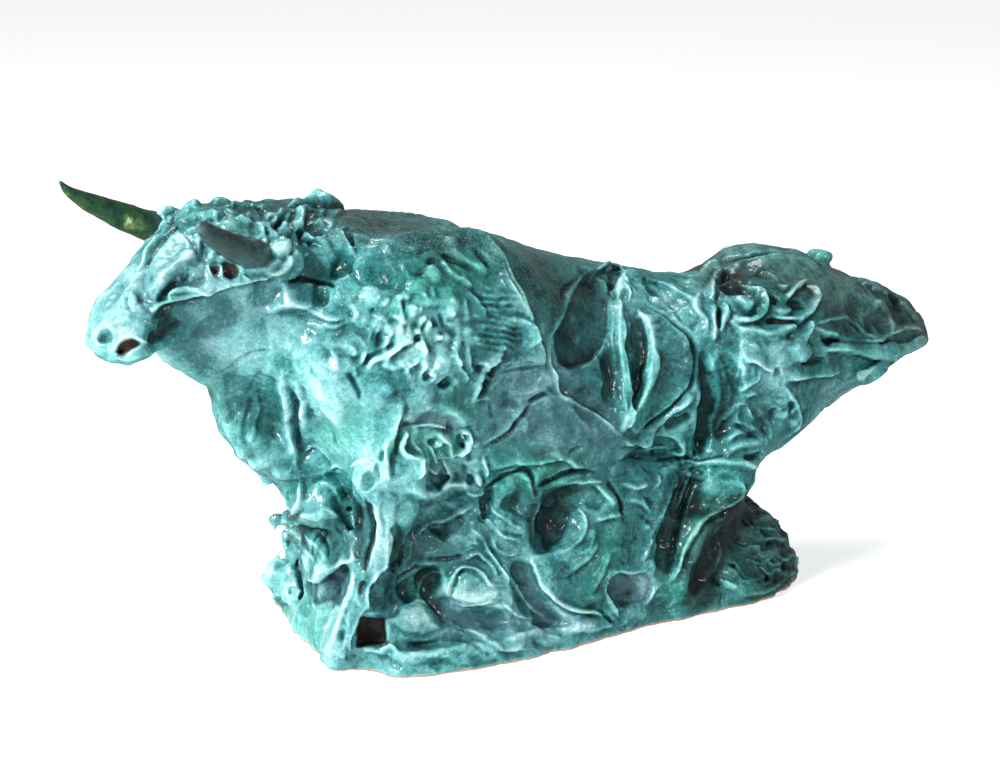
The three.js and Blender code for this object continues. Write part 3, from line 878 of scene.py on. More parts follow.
# flank: the oval dish, the plane beside it, the standing fold and the leaf
patch("586,274 596,269 608,267 620,268 616,284 609,298 606,315 607,332 601,348 592,359 580,367 567,370 558,362 553,348 554,336 561,324 567,308 574,290", -4.2, edge=1.6, reach=14, ragged=0.5)
patch("608,270 621,269 619,286 612,300 607,296", -4.0, edge=2.0, reach=14)
patch("612,312 617,318 618,345 620,375 624,400 627,432 621,428 614,395 611,360 610,330", 0.8, edge=1.0, reach=12, flat=0.35)
patch("640,311 652,312 666,318 682,328 694,342 700,360 699,385 692,393 676,404 660,414 646,426 634,436 630,426 640,404 646,382 648,356 648,338", 2.0, to=0.6, edge=1.2, reach=12, ragged=0.5)
patch("642,278 664,284 690,300 700,318 694,334 680,322 664,312 650,306", -2.4, edge=1.4, reach=12)
# shoulder mantle and the square pad on the neck
patch("400,262 440,250 478,242 500,264 516,296 500,312 478,318 448,306 420,300", 1.2, edge=1.6, reach=10)
# hind leg sheet, tab and rump planes
patch("741,336 770,338 800,338 812,350 800,362 782,370 776,378 764,370 752,362 742,376", 2.2, edge=1.0, reach=10, flat=0.25)
patch("858,372 884,357 890,359 888,367 874,382 863,384 857,380", 3.4, edge=1.2, reach=14, both=False)
patch("838,268 862,280 880,292 892,296 908,308 918,322 900,326 890,318 884,304 870,294 854,282", -2.6, edge=2.0, reach=14, both=False)
patch("862,318 880,306 886,312 892,332 878,336 866,332", -1.8, edge=1.4, reach=10, both=False)
patch("784,380 830,378 850,380 800,430 790,428 794,405", 0.8, edge=1.2, reach=10, flat=0.4)
patch("760,372 778,380 786,392 790,410 782,432 766,424 752,404 748,388", 1.2, edge=1.4, reach=10, flat=0.3)
# foreleg: its front plane stands clear on both sides
patch("374,494 396,496 396,514 391,533 391,546 387,560 384,569 377,574 370,585 366,600 366,607 359,616 353,630 350,648 343,644 345,622 352,602 360,582 368,560 374,540 377,520", 1.8, edge=0.8, reach=11, ragged=0.3, flat=0.3)
patch("396,520 404,534 401,556 392,572 387,572 391,552 392,536", -1.2, edge=1.2, reach=11)
patch("377,575 396,573 395,590 387,610 366,611 368,596", 0.8, edge=1.0, reach=11, flat=0.6)
patch("360,505 369,508 371,535 368,556 358,560 355,535", -1.0, edge=1.2, reach=11)
patch("352,571 356,574 353,595 346,612 340,630 334,642 332,634 338,614 345,592", 1.6, edge=0.9, reach=10)
patch("306,585 322,581 334,572 345,566 351,568 349,588 342,606 330,600 316,606", -3.2, edge=1.4, reach=11, both=False)
patch("362,617 384,619 386,640 380,645 357,645 359,632", -6.0, edge=1.0, reach=12, ragged=0.3, both=False)
# knee leaf
patch("276,524 300,514 318,510 332,512 345,524 355,538 352,549 356,559 345,562 332,571 320,580 305,582 303,570 296,554 288,540 280,531", 3.6, edge=1.0, reach=12, both=False, ragged=0.5)
# ground: bowl, crescents and the lifted plane between them
patch("540,500 552,488 574,484 596,486 606,500 600,512 584,506 572,512 560,540 546,548 536,530", -2.6, edge=1.6, reach=12)
patch("604,582 612,574 630,572 648,574 654,584 648,598 634,604 616,604 606,596", -1.6, edge=0.9, reach=10)
patch("399,608 414,604 428,608 437,618 440,628 420,634 402,632 392,620", 2.2, edge=1.2, reach=10)
patch("535,556 560,548 600,545 628,548 632,566 606,574 602,600 584,606 560,598 545,582", 1.2, edge=1.4, reach=12, flat=0.35)
patch("454,602 452,588 456,577 464,570 474,570 482,577 488,586 500,588 498,600 476,604", 1.8, edge=1.0, reach=10, flat=0.3)
patch("694,483 730,478 742,482 742,494 726,506 706,518 692,534 684,556 676,580 668,578 676,545 684,512", 2.6, edge=1.2, reach=12, flat=0.3)

# Head and crown.
refresh(2.4)
patch("122,268 136,262 142,270 141,286 133,295 128,306 131,320 118,324 100,331 90,326 89,312 98,295 110,278", 0.8, edge=1.6, flat=0.35)
patch("177,228 187,238 196,248 194,257 180,262 167,270 150,296 146,285 148,268 158,250 168,238", 1.4, edge=1.2, flat=0.3)
patch("117,354 119,347 124,341 132,339 139,343 132,347 127,352 122,356", -5.5, edge=0.8, ragged=0.3)
patch("146,318 158,312 174,316 180,322 170,332 158,341 149,345 143,338", -1.0, edge=3.0)
patch("98,333 106,329 114,334 113,343 104,346 98,341", -1.8, edge=1.2)
S("s", 12, 3.4, "141,272 150,254 163,238 177,226", ends=(0.2, 0.1))
S("s", 7, 2.0, "177,226 187,236 196,247", ends=(0.1, 0.2))
S("r", 4, 2.2, "144,262 156,244 166,230 174,216")
S("g", 3, 2.6, "146,270 156,252 166,240 176,230", ends=(0.2, 0.1))
B(133, 302, 5, 6, 1.8)
S("r", 9, 4, "150,302 158,290 168,277 180,266 192,259 201,255")
S("g", 6, 3.5, "157,303 165,291 175,284 186,281 197,285 207,283")
B(187, 277.5, 3.6, 1.9, 5, turn=-42, cut=True, sink=0.1, k=0.6)
B(199, 282, 3.8, 1.5, 4, turn=-25, cut=True, sink=0.1, k=0.6)
S("r", 6, 2.5, "162,298 175,291 190,289 205,292 217,286")
S("r", 5, 2, "178,286 183,272 190,268 196,272")
B(106, 336, 6.5, 5, 2.8, turn=10, cut=True, sink=-0.1, k=3)
S("r", 4, 2, "97,346 96,335 102,327 110,327 116,334")
S("d", 14, 2.4, "150,340 160,333 172,326", ends=(0.3, 0.3))
S("r", 4, 2.2, "117,347 124,339 134,337 143,341 152,345")
S("r", 5, 2.2, "113,357 123,360 135,357 146,352 157,351")
S("d", 9, 2, "100,352 108,357")
S("g", 3.4, 3.0, "138,289 140,296 140,304", ends=(0.1, 0.1))
S("r", 3, 1.6, "128,298 131,294 135,295 136,301 134,308")
S("g", 2.4, 2.2, "129,293 126,301 128,309 131,314")
S("r", 3.2, 1.6, "160,298 163,294 167,294 169,298 166,301")
S("d", 14, 2.5, "150,272 146,290 144,306")
S("d", 10, 2, "128,275 116,292 106,310", ends=(0.3, 0.3))
S("g", 7, 2.0, "147,343 158,337 170,329 182,322", ends=(0.3, 0.3))
S("d", 30, 2.2, "134,256 124,270 115,283 107,295", ends=(0.4, 0.4), both=False)
S("c", 4, 1.6, "118,268 110,282 101,296 92,312")
# pits and collars round the near horn
B(215, 271, 3, 5, 5, turn=75, cut=True, sink=0.1, k=0.8)
B(231, 270, 5.6, 4.8, 6, turn=20, cut=True, sink=0.1, k=0.8)
B(246, 276, 3, 2, 3, cut=True, sink=0.1, k=0.8)
B(186, 277, 3, 3.6, 4, cut=True, sink=0.1, k=0.6)
S("r", 4, 2.4, "206,264 211,259 222,259 233,259 241,265 243,276 252,281")
S("r", 3.5, 2, "221,262 222,272 221,281")
S("r", 4, 2.2, "206,266 209,276 217,285")
S("r", 8, 2.4, "238,266 254,271 268,268 277,259 281,250")
S("r", 8, 3.5, "262,275 275,274 286,267 291,258 285,253")
S("r", 7, 3, "198,238 200,250 206,258 214,254 220,246")
S("g", 4, 3, "207,262 203,250 205,240")
S("r", 9, 4, "264,246 274,252 284,248 290,240")
# crown and forelock
S("m", 12, 4.5, "178,230 180,216 187,208 201,205", ends=(0.1, 0.05))
S("r", 9, 3.5, "148,230 158,220 168,213 178,205")
S("g", 3, 2.5, "176,226 172,217 176,208")
for x, y, a, b, n, w in [(222, 203, 7, 5, 4, 0), (214, 216, 6, 4, 3.5, 20), (232, 213, 6, 4, 3.5, -10), (243, 221, 5, 4, 3.5, 30), (229, 226, 6, 4, 3, 0), (252, 217, 5, 4, 3.5, 10), (196, 216, 7, 4, 3, -20), (206, 229, 5, 4, 3, 40), (262, 227, 5, 4, 3, 0), (272, 235, 6, 4, 3.5, 30), (268, 216, 6, 3.5, 3, -20), (284, 214, 5, 4, 3, 0), (283, 227, 5, 4, 3.5, 60), (258, 207, 6, 3, 3, 0), (190, 232, 5, 4, 2.5, 10), (240, 207, 6, 4, 3, -10)]:
    B(x, y, a, b, n, turn=w, sink=0.15, k=1.4)
lumps("196,203 225,200 262,200 325,200 330,235 300,262 282,262 262,244 235,232 208,222", 34, (2.2, 4.6), (1.6, 3.4))
pits("205,208 262,208 320,212 310,255 285,255 262,240 235,230 208,222", 6, (1.2, 2.6), (2, 3.5))
scatter("205,200 325,198 325,240 290,255 250,232 208,215", 14, (8, 16), (3.5, 6), (1.6, 3), 20, kind="rcg", spread=60)

# Mane, shoulder and the mantle's broken edge.
refresh(2.4)
S("r", 9, 4, "316,196 309,201 299,206 288,208")
S("r", 8, 4, "318,196 326,203 336,207 345,212")
S("r", 8, 4.5, "302,208 302,217 298,226 293,232", ends=(0.3, 0.3))
B(316, 229, 6.5, 4, 4, turn=10, cut=True, sink=0.25, k=1.6)
S("g", 3, 3, "297,210 292,218 290,228")
S("s", 9, 3, "357,254 351,247 345,240 339,232", rough=0.05)
patch("283,284 300,282 313,284 313,307 300,310 286,306", 4.4, edge=0.8, flat=0.5, ragged=0.3)
B(323, 298, 4.6, 8, 5, turn=4, cut=True, sink=0.2, k=1)
S("g", 3, 3, "284,282 300,280 318,281 330,283 337,292")
S("c", 4, 2, "332,283 338,293 341,304")
S("r", 7, 2.5, "262,311 285,311 302,313 316,320", ends=(0.2, 0.2))
S("r", 6, 2.6, "322,324 336,325 350,322 358,318")
S("r", 5, 1.6, "345,236 362,238 382,242 402,245 422,249 440,250", ends=(0.3, 0.3))
S("g", 4, 1.6, "322,232 332,246 345,262 358,280 366,288")
S("d", 22, 2, "330,262 350,272", ends=(0.3, 0.3))
B(388, 250, 2.4, 2.4, 2.4)
B(388, 262, 1.8, 2.6, 2, turn=60)
B(452, 243, 5, 4.5, 4, turn=-20)
S("r", 6, 3.6, "441,256 447,267 454,276 464,283 474,289")
S("g", 4, 2.6, "427,265 433,261 440,260", ends=(0.3, 0.2))
S("g", 5, 3, "441,252 452,258 462,262 474,268 480,276")
S("r", 6, 1.6, "462,256 472,262 482,270 490,276")
S("g", 5, 3.5, "477,247 482,256 488,265 492,268")
S("r", 6, 3, "468,290 476,298 482,308 487,321")
S("r", 5, 2.6, "466,294 466,305 469,316")
S("g", 4, 3.4, "437,311 444,322 452,332 463,341")
for x, y, a, b, n, w in [(372, 299, 8, 7, 4.5, 0), (361, 315, 6, 8, 4, 0), (388, 299, 6, 6, 3.5, 0), (418, 286, 8, 6, 4.5, -20), (433, 276, 6, 6, 4, 0), (425, 301, 9, 3.6, 3, 0), (379, 318, 5, 6, 3, 20), (445, 337, 3, 2.6, 3, 0), (469, 331, 3.4, 3, 3.6, 0), (468, 318, 2.6, 2.6, 2.6, 0), (476, 338, 3, 2.4, 2.6, 0), (432, 290, 2, 2, 2, 0), (465, 277, 3, 2.5, 2.4, 0), (452, 307, 5, 7, 3, 10), (440, 358, 9, 9, 4.5, 0), (428, 372, 6, 5, 4, 30), (414, 350, 6, 8, 4, 0), (457, 345, 4, 7, 3.4, 10), (455, 360, 4, 3, 3, 0), (396, 331, 4, 5, 3, 0), (408, 312, 4, 8, 3.4, 0), (352, 345, 7, 6, 3, 0), (345, 365, 6, 5, 2.6, 0), (404, 365, 7, 5, 3.4, -20), (420, 392, 7, 4, 3, 0), (389, 389, 4, 3.4, 3, 0)]:
    B(x, y, a, b, n, turn=w, sink=0.15, k=1.5)
S("r", 7, 3.4, "398,291 399,305 400,320 396,336")
S("r", 9, 5, "403,322 407,333 403,343 392,350 380,355 371,361 368,371")
S("g", 5, 4.5, "394,341 388,349 377,353 369,359 363,369")
S("r", 5, 3, "385,324 389,335 384,346")
S("g", 4, 3, "378,330 380,342 374,350")
S("r", 8, 3.6, "412,325 420,340 424,356 420,372")
S("r", 5, 3, "452,345 456,358 462,372 466,386")
S("r", 5, 3, "470,345 468,360 472,376")
B(447, 385, 6.6, 3.8, 6, turn=10, cut=True, sink=0.15, k=1)
B(428, 377, 3, 2, 4, cut=True, sink=0.1, k=1)
B(416, 338, 2, 3, 3, turn=60, cut=True, sink=0.1, k=0.8)
B(434, 322, 3, 2, 3, turn=60, cut=True, sink=0.1, k=0.8)
S("g", 4, 3, "345,372 353,383 359,394 362,402")
S("w", 24, 1.5, "474,331 490,333 506,336 522,338", pitch=3.6)
S("w", 16, 1.2, "478,300 492,303 508,302 520,303", pitch=4.0)
S("r", 5, 2.8, "504,319 515,318 525,321 532,328 537,338 534,346 528,351")
S("r", 9, 5, "507,344 498,355 487,365 481,376 477,389 473,402")
S("g", 6, 4, "500,362 492,372 487,384 484,396")
lumps("505,345 498,352 486,364 478,378 474,400 482,398 490,378 500,362", 14, (1.6, 3.2), (1.8, 3.4))
S("c", 5, 2.6, "522,302 514,289 508,276 503,264")
lumps("355,292 400,288 445,296 470,300 488,330 480,372 455,392 415,385 372,372 350,335", 46, (2.0, 5.0), (1.6, 3.8))
scatter("352,292 445,290 490,330 484,380 420,392 350,380", 34, (7, 15), (3, 6.5), (1.6, 3.4), 60, kind="rrcg", spread=60)
pits("355,300 440,300 480,330 470,380 420,385 365,360", 8, (1.0, 2.0), (2, 3.5))
scatter("300,212 345,212 350,235 300,245", 8, (8, 14), (3, 6), (1.2, 2.4), 30, kind="rg", spread=40)
scatter("300,340 345,335 352,372 318,372", 8, (8, 16), (4, 8), (0.8, 1.8), 50, kind="rd", spread=30)

# Flank, folds and the grey side.
refresh(2.2)
S("c", 6, 4.0, "586,276 579,280 571,290 567,301 563,314 555,326 548,340 547,354 551,366 556,380 562,396 580,406 602,419 618,434", ends=(0.05, 0.15))
S("g", 5, 3, "583,276 572,283 565,292 561,303")
S("s", 12, 3, "604,343 595,355 582,363 560,368")
B(576, 338, 3.2, 4, 3.4)
B(572, 318, 6, 2.4, 2, turn=5)
S("c", 5, 3.4, "590,284 592,275 599,270 608,267 618,266 623,261")
S("g", 7, 5, "600,277 608,279 614,288 611,300")
S("r", 4, 3, "617,301 616,290 621,282 628,285 631,294 629,302")
B(624, 294, 2.4, 5, 4, cut=True, sink=0.1, k=0.8)
S("c", 5, 3.6, "622,263 623,274 630,284 639,294")
B(632, 272, 4.5, 5, 3.4)
B(621, 275, 2, 6, 5, turn=10, cut=True, sink=0.1, k=1)
S("c", 4, 2.6, "612,312 613,330 615,350 617,370 620,386")
S("c", 6, 3, "620,304 619,325 621,350 623,375 626,400 625,420")
S("c", 5, 3, "639,311 645,325 649,340 648,356 645,374 640,391 632,407 624,424 621,438")
S("r", 7, 3, "652,346 658,356 657,371 650,386 641,402 630,418 626,432")
S("g", 5, 5, "645,305 660,312 675,322 688,334 695,350 697,368 692,385 682,398")
S("r", 5, 2.6, "648,300 662,305 673,313 684,324")
B(652, 292, 8, 8, 5, turn=45, cut=True, sink=0.2, k=1.5)
S("r", 6, 3, "641,281 646,292 652,302 662,306")
S("r", 6, 2.4, "655,280 668,287 682,295 696,300")
S("r", 12, 5.5, "692,394 679,405 663,415 649,426 641,436 638,446", ends=(0.15, 0.1))
S("g", 4, 5, "686,390 677,401 665,411 651,422 641,430")
S("g", 7, 5, "662,426 672,424 682,422 690,414")
S("r", 6, 3.6, "647,434 660,431 672,434 681,442 679,451 668,449")
B(624, 450, 9, 6, 4.4, turn=-30)
S("r", 5, 3, "619,441 630,443 640,441")
S("g", 2.4, 1.4, "617,462 632,456 645,452 658,455")
S("g", 3, 1.6, "655,461 680,457 700,460 722,456")
S("r", 5, 2.6, "637,452 655,447 668,446")
S("r", 6, 1.4, "712,348 722,368 729,390 726,412")
S("r", 4, 1.8, "697,352 700,372 698,392 690,408")
S("c", 3, 1.2, "716,362 720,385 718,408 712,432")
# grey side, little ledges
S("g", 2.6, 1.8, "500,372 515,370 530,368 547,365")
S("s", 9, 1.8, "498,366 515,364 532,362 548,361")
S("s", 8, 2, "503,394 515,394 530,392 548,388")
B(506, 395, 3, 2.6, 2.6, cut=True, sink=0.1, k=0.6)
S("g", 4.5, 3, "527,402 538,397 550,394")
S("g", 2.4, 2, "489,403 492,411 496,417")
S("g", 3, 3.2, "530,404 520,416 511,429 504,435 494,440 483,448")
S("s", 14, 3, "484,449 495,441 505,436 512,429 521,416 531,404", ends=(0.2, 0.2))
B(546, 379, 4, 3, 2, turn=30)
S("g", 2, 1.6, "540,377 546,381 551,384")
S("r", 6, 2.4, "471,404 482,398 492,400")
# lower edge of the belly
S("r", 7, 3.6, "486,470 500,465 515,460 530,462 550,460 566,458 577,466 592,471")
S("g", 4, 3.0, "485,488 497,480 510,474 524,469 530,476 533,488", ends=(0.2, 0.2))
S("g", 4, 3.4, "536,487 548,482 562,475 578,470 594,472", ends=(0.2, 0.2))
B(510, 490, 9, 7, 3, turn=-20)
S("r", 5, 2.6, "545,451 557,455 562,460")
S("g", 3, 2, "566,455 575,448 586,447")
scatter("485,365 545,362 552,400 500,440 478,425", 10, (6, 13), (3, 6), (0.6, 1.4), 10, kind="sg", spread=25)
# rump, tuft and tail
S("g", 4, 3.4, "716,265 732,259 752,257 775,254 792,255")
B(820, 257, 6.5, 5.5, 5, turn=20, sink=0.0)
S("c", 5, 2.4, "735,264 760,259 785,257 810,261 835,268 855,279 868,290 876,299", ends=(0.15, 0.05))
S("c", 4, 2.6, "874,302 882,301 886,306 890,318 893,333", ends=(0.05, 0.1))
S("c", 3, 1.4, "870,313 878,305 882,302")
S("d", 12, 2.5, "884,285 895,300 902,315")
S("m", 11, 6, "692,291 700,281 710,270 723,263", ends=(0.1, 0.02))
S("g", 4, 4, "727,268 722,277 718,286 715,296")
S("r", 8, 5, "723,268 718,281 714,295 716,304")
S("r", 6.5, 4.6, "716,303 712,315 714,329 712,344")
S("r", 6.5, 4.6, "725,304 727,312 722,322 720,336")
S("g", 3, 4, "720,306 717,318 718,332")
S("r", 7, 3.6, "704,292 698,302 700,312 706,322 704,338")
B(739, 288, 12.5, 6.5, 9, turn=6, cut=True, sink=0.15, k=1.4)
S("r", 7.6, 5.2, "748,284 758,290 765,300 763,311 752,318 741,321 731,320", ends=(0.2, 0.15))
S("r", 8, 4.6, "736,297 745,307 756,302")
S("c", 3, 2, "742,272 748,280 756,288")
S("r", 5.5, 5.0, "785,302 791,294 799,286 807,282", ends=(0.2, 0.1))
S("r", 6.4, 5.5, "806,282 812,289 816,299 811,309 803,316 794,320 783,320 771,318", ends=(0.15, 0.2))
B(796, 305, 7, 3.4, 5, turn=-10, cut=True, sink=0.1, k=1)
B(772, 300, 6, 4, 5, turn=30, cut=True, sink=0.1, k=1)
S("r", 5, 3, "776,285 783,290 790,286")
S("r", 5, 2.6, "762,270 772,276 780,284")
S("r", 5, 2.4, "745,268 756,272 764,268")
S("r", 9, 4.6, "727,319 738,328 752,333 768,334 786,330 800,322")
S("g", 3.4, 4, "762,320 775,322 790,323 800,319")
S("r", 5, 3, "770,312 782,313 794,308")
S("r", 9, 6, "806,317 808,328 806,338 803,347", ends=(0.15, 0.3))
S("g", 4, 5, "803,346 810,352 818,358")
S("r", 4, 2.6, "815,324 828,320 842,318 853,318 858,324 862,332 868,337 878,338", ends=(0.15, 0.1))
S("r", 5, 3.4, "812,326 824,333 840,337 856,340 872,343", ends=(0.15, 0.15))
S("g", 2.6, 2.4, "820,339 836,341 856,342 876,343 892,340", ends=(0.1, 0.1))
S("t", 8, 2.4, "822,346 842,347 862,349 884,350 904,347 918,340 922,331", ends=(0.2, 0.1))
S("c", 4, 3, "868,341 880,340 892,334 904,330 916,328 923,330", ends=(0.1, 0.1))
S("r", 6, 3, "820,352 838,348 858,351 880,357 903,356")
S("g", 3, 2, "822,345 840,347 860,350 880,353")
B(880, 326, 9, 5, 4, turn=25, cut=True, sink=0.3, k=2)
S("s", 16, 3.4, "742,350 746,360 758,366 770,372 784,379", ends=(0.2, 0.2))
B(801, 352, 10, 8, 6, turn=20)
B(784, 358, 4, 4, 3.4)
S("r", 10, 4, "783,376 800,378 820,373 842,371")
S("g", 4, 4, "800,366 815,362 826,358")
B(777, 373, 3, 4, 4, cut=True, sink=0.1, k=1)
B(877, 370, 6, 10, 5, turn=32, sink=0.1)
S("c", 7, 3.6, "782,381 790,395 798,410 796,425 783,437")
S("c", 4, 2.4, "770,405 780,409 790,408")
S("r", 5, 3, "735,392 745,385 756,380 760,372")
S("r", 5, 3, "746,398 752,392 758,396")
S("r", 5, 3, "716,432 724,420 733,410 742,407 750,412")
S("g", 5, 4.6, "730,424 740,427 750,431 760,434")
S("r", 7, 3.6, "721,441 735,434 746,430 757,432 763,439")
S("r", 9, 4, "721,456 735,447 750,441 767,437")
B(760, 413, 4, 4, 3)
B(744, 414, 2, 4, 4, cut=True, sink=0.1, k=1)
scatter("735,345 790,345 800,400 760,430 728,410", 12, (7, 14), (3, 7), (1, 2.2), 60, kind="rsg", spread=50)
scatter("800,380 850,372 800,430 780,440", 5, (10, 20), (5, 9), (1, 2), 130, kind="sr", spread=20)

# Chest flutes, elbow knot, foreleg and knee.
refresh(2.2)
S("g", 2.6, 1.8, "222,373 231,366 241,358 252,353 262,352 278,351")
S("r", 11, 4.4, "281,371 284,390 287,410 290,435 294,455 297,470")
S("r", 9, 2.4, "297,380 301,398 304,415 305,436")
S("g", 4.4, 1.4, "288,386 292,402 295,422 299,446", ends=(0.3, 0.3))
S("r", 4.4, 2.2, "257,395 257,410 254,426 250,441")
S("g", 4, 2.2, "253,396 247,408 244,423 244,438 250,450")
S("g", 2.4, 1.2, "262,366 254,380 244,398 235,413")
S("r", 9, 2.6, "222,372 220,390 222,411 229,431 237,447")
B(312, 413, 1.6, 6.5, 3.4, turn=-4, cut=True, sink=0.1, k=0.8)
S("r", 5, 3.4, "306,399 305,412 309,423")
B(219, 411, 6, 9, 4, turn=-10)
B(231, 428, 3, 5, 4, turn=15)
B(243, 450, 6, 5, 4)
B(262, 463, 6, 5, 4)
S("r", 6, 3, "232,440 246,452 258,466 272,478")
S("c", 5, 3.4, "300,462 305,452 313,447 322,449 331,457 337,466")
B(326, 467, 3.4, 3.4, 3)
S("r", 4, 2.6, "332,469 339,464 346,471")
B(366, 482, 4, 6, 7, turn=20, cut=True, sink=0.1, k=1)
B(377, 471, 1.6, 6, 5, cut=True, sink=0.1, k=0.8)
S("c", 4, 3, "351,471 358,463 367,462 376,468")
B(283, 473, 7, 4.5, 4.4, turn=-10)
S("r", 8, 4.4, "299,479 303,495 299,506 291,518")
S("r", 5, 3, "286,487 287,500 290,512")
S("s", 10, 1.4, "275,480 300,480 325,474 345,472", ends=(0.2, 0.2))
S("g", 3, 2.4, "331,430 334,440 336,448")
S("g", 4, 4, "383,448 382,456 381,464")
S("r", 5, 3.2, "386,436 386,450 388,466")
S("d", 16, 2.4, "350,400 356,425 352,450", ends=(0.3, 0.3))
scatter("268,358 330,360 345,430 310,470 272,460", 10, (8, 18), (3, 6), (0.6, 1.6), 80, kind="rg", spread=22)
# elbow knot
S("r", 11, 5.5, "404,398 397,411 392,425 388,445 386,466 388,482")
S("r", 16, 3.6, "402,422 412,412 430,405 448,408 460,418 465,431")
S("c", 5.1, 4.4, "408,430 400,441 404,453 418,458", ends=(0.1, 0.2))
S("c", 4.2, 3.9, "424,438 430,449 434,463", ends=(0.2, 0.2))
S("r", 4.4, 3.0, "409,428 416,424 428,423 440,425 449,431", ends=(0.1, 0.2))
S("r", 7, 3.6, "406,430 403,441 404,451 412,456 419,460 420,470 418,480", ends=(0.15, 0.2))
B(436, 443, 5, 2, 3, turn=20)
B(460, 486, 6, 4, 4.4)
B(436, 469, 2, 2.6, 3)
B(458, 473, 2.2, 2, 3)
S("r", 10, 3.6, "402,490 420,494 440,494 452,490", ends=(0.2, 0.2))
S("r", 6, 4, "474,472 479,478 478,485", ends=(0.15, 0.2))
S("c", 4.0, 3.0, "410,436 414,444 420,452 424,462")
B(419, 470, 3.4, 7, 3.6)
B(449, 470, 4, 6, 3.6, turn=-20)
B(457, 487, 5.4, 3.4, 3.6)
S("r", 6, 3, "440,494 450,490 460,488")
S("r", 5.6, 4.4, "433,431 440,436 446,443 450,453 452,459", ends=(0.15, 0.2))
S("r", 5.4, 4.6, "459,434 466,431 472,435 472,442 466,448 458,451 452,455", ends=(0.1, 0.25))
B(461, 440, 2.6, 3.4, 3.4, cut=True, sink=0.1, k=1)
S("c", 4, 3, "458,452 466,449 473,443")
S("c", 4.7, 3.9, "417,459 420,471 416,481", ends=(0.1, 0.2))
S("c", 4.2, 3.9, "440,459 450,469 455,481", ends=(0.1, 0.2))
S("c", 4.2, 3.7, "426,466 434,474 442,476", ends=(0.1, 0.2))
S("c", 5.1, 4.2, "482,454 486,467 484,480", ends=(0.15, 0.2))
S("c", 4.4, 3.2, "484,485 479,493 471,496 464,490", ends=(0.1, 0.2))
S("r", 9, 4, "438,493 452,489 463,485 470,486")
for x, y, a, b, w in [(432, 441, 4.4, 2.2, 20), (448, 429, 4, 2.6, 20), (446, 482, 4, 3, 30), (462, 470, 2.6, 4, 10), (404, 424, 3, 2, 0), (470, 480, 3, 3, 0), (440, 455, 3, 2, 0)]:
    B(x, y, a, b, 3.4, turn=w, cut=True, sink=0.1, k=1.2)
lumps("398,430 470,430 488,455 480,492 430,490 398,478", 26, (1.6, 3.6), (1.6, 3.4))
pits("400,432 470,436 482,470 440,488 402,475", 6, (0.9, 1.8), (2, 3.5))
# foreleg
S("c", 4.4, 4.2, "391,533 391,545 388,556 385,568 378,573 370,585 366,598 367,606 360,615 354,628 350,640 350,650", ends=(0.08, 0.1))
S("c", 3.4, 3.0, "353,570 351,585 347,600 343,612 338,628 335,640", ends=(0.1, 0.1))
S("g", 3, 2.4, "366,500 371,520 371,538 368,556 365,572", ends=(0.1, 0.2))
S("c", 3, 1.4, "378,500 380,520 378,540 374,556 370,570")
S("r", 3, 1.6, "384,562 386,548 388,536")
S("g", 2.4, 1.8, "383,500 385,520 384,540")
B(361, 589, 1.8, 4.6, 4, turn=15, cut=True, sink=0.1, k=0.8)
B(393, 530, 2.0, 3.0, 3, cut=True, sink=0.1, k=0.8)
S("s", 8, 2.6, "402,575 403,566 410,556 412,545 409,537", ends=(0.2, 0.2))
S("s", 9, 2.4, "400,574 410,567 422,563 436,566", ends=(0.2, 0.2))
S("g", 4, 3, "396,582 404,574 412,570 424,568")
S("r", 5, 3, "361,652 370,650 380,654 390,646 398,655", ends=(0.05, 0.1))
S("r", 3.4, 2.0, "362,613 374,611 384,613")
S("g", 3, 2.4, "372,648 384,645 392,642")
S("r", 4, 2.0, "344,640 346,655 349,664")
S("g", 2.4, 2.0, "343,616 345,628 341,642")
lumps("342,614 350,614 351,662 343,662", 8, (0.9, 1.8), (0.8, 1.6), both=False)
S("s", 14, 2.6, "318,478 332,490 340,505 352,520 356,540", ends=(0.2, 0.2))
B(348, 507, 4.4, 4.6, 3)
B(349, 509, 1.6, 2.2, 3, turn=40, cut=True, sink=0.1, k=0.8)
S("r", 3, 1.8, "345,514 352,520 357,528")
scatter("296,612 345,600 340,655 312,645", 9, (14, 26), (4, 9), (0.4, 0.9), 108, kind="rg", spread=9)
# knee leaf with its curled rim
S("t", 7.0, 2.4, "271,531 278,524 288,520 300,516 311,513 322,510", both=False, ends=(0.02, 0.3))
B(273, 530, 3.6, 3.4, 3.6, both=False, sink=0.0)
S("g", 2.4, 1.6, "274,529 286,525 297,520 308,517", both=False, ends=(0.05, 0.3))
S("r", 4.2, 3.0, "290,529 299,541 308,553 315,563 318,572", both=False)
S("r", 4.2, 3.0, "303,530 311,541 320,551 326,561", both=False)
S("g", 3.0, 2.0, "298,532 306,545 313,556 321,567", both=False)
S("g", 3.4, 3.0, "311,526 320,536 328,548 331,562", both=False)
B(321, 522, 2.6, 6, 2.6, turn=-62, both=False)
S("g", 3.4, 2.8, "311,520 318,530 326,536", both=False)
S("c", 2.8, 1.8, "322,509 334,513 344,523 355,538 351,549 353,559", both=False, ends=(0.1, 0.1))
S("c", 3.2, 2.2, "357,559 345,562 333,571 320,579 305,582", both=False, ends=(0.1, 0.1))
S("g", 2.4, 1.2, "335,522 342,535 342,552", both=False)
S("g", 2.4, 1.2, "346,532 348,545 343,558", both=False)
S("r", 3.2, 1.8, "291,538 298,552 303,566 305,580", both=False)
patch("268,584 272,573 282,566 292,563 298,575 303,590 298,602 284,603 272,597", 1.6, edge=1.4, reach=9, flat=0.6, both=False)
B(297, 572, 3.4, 4.4, 2.4, both=False)
B(292, 557, 7, 8, 2.6, sink=0.2, both=False)
B(291, 592, 1.6, 1.6, 1.6, cut=True, sink=0.1, k=0.8, both=False)
S("g", 2.6, 3, "306,585 307,596 310,609", both=False)
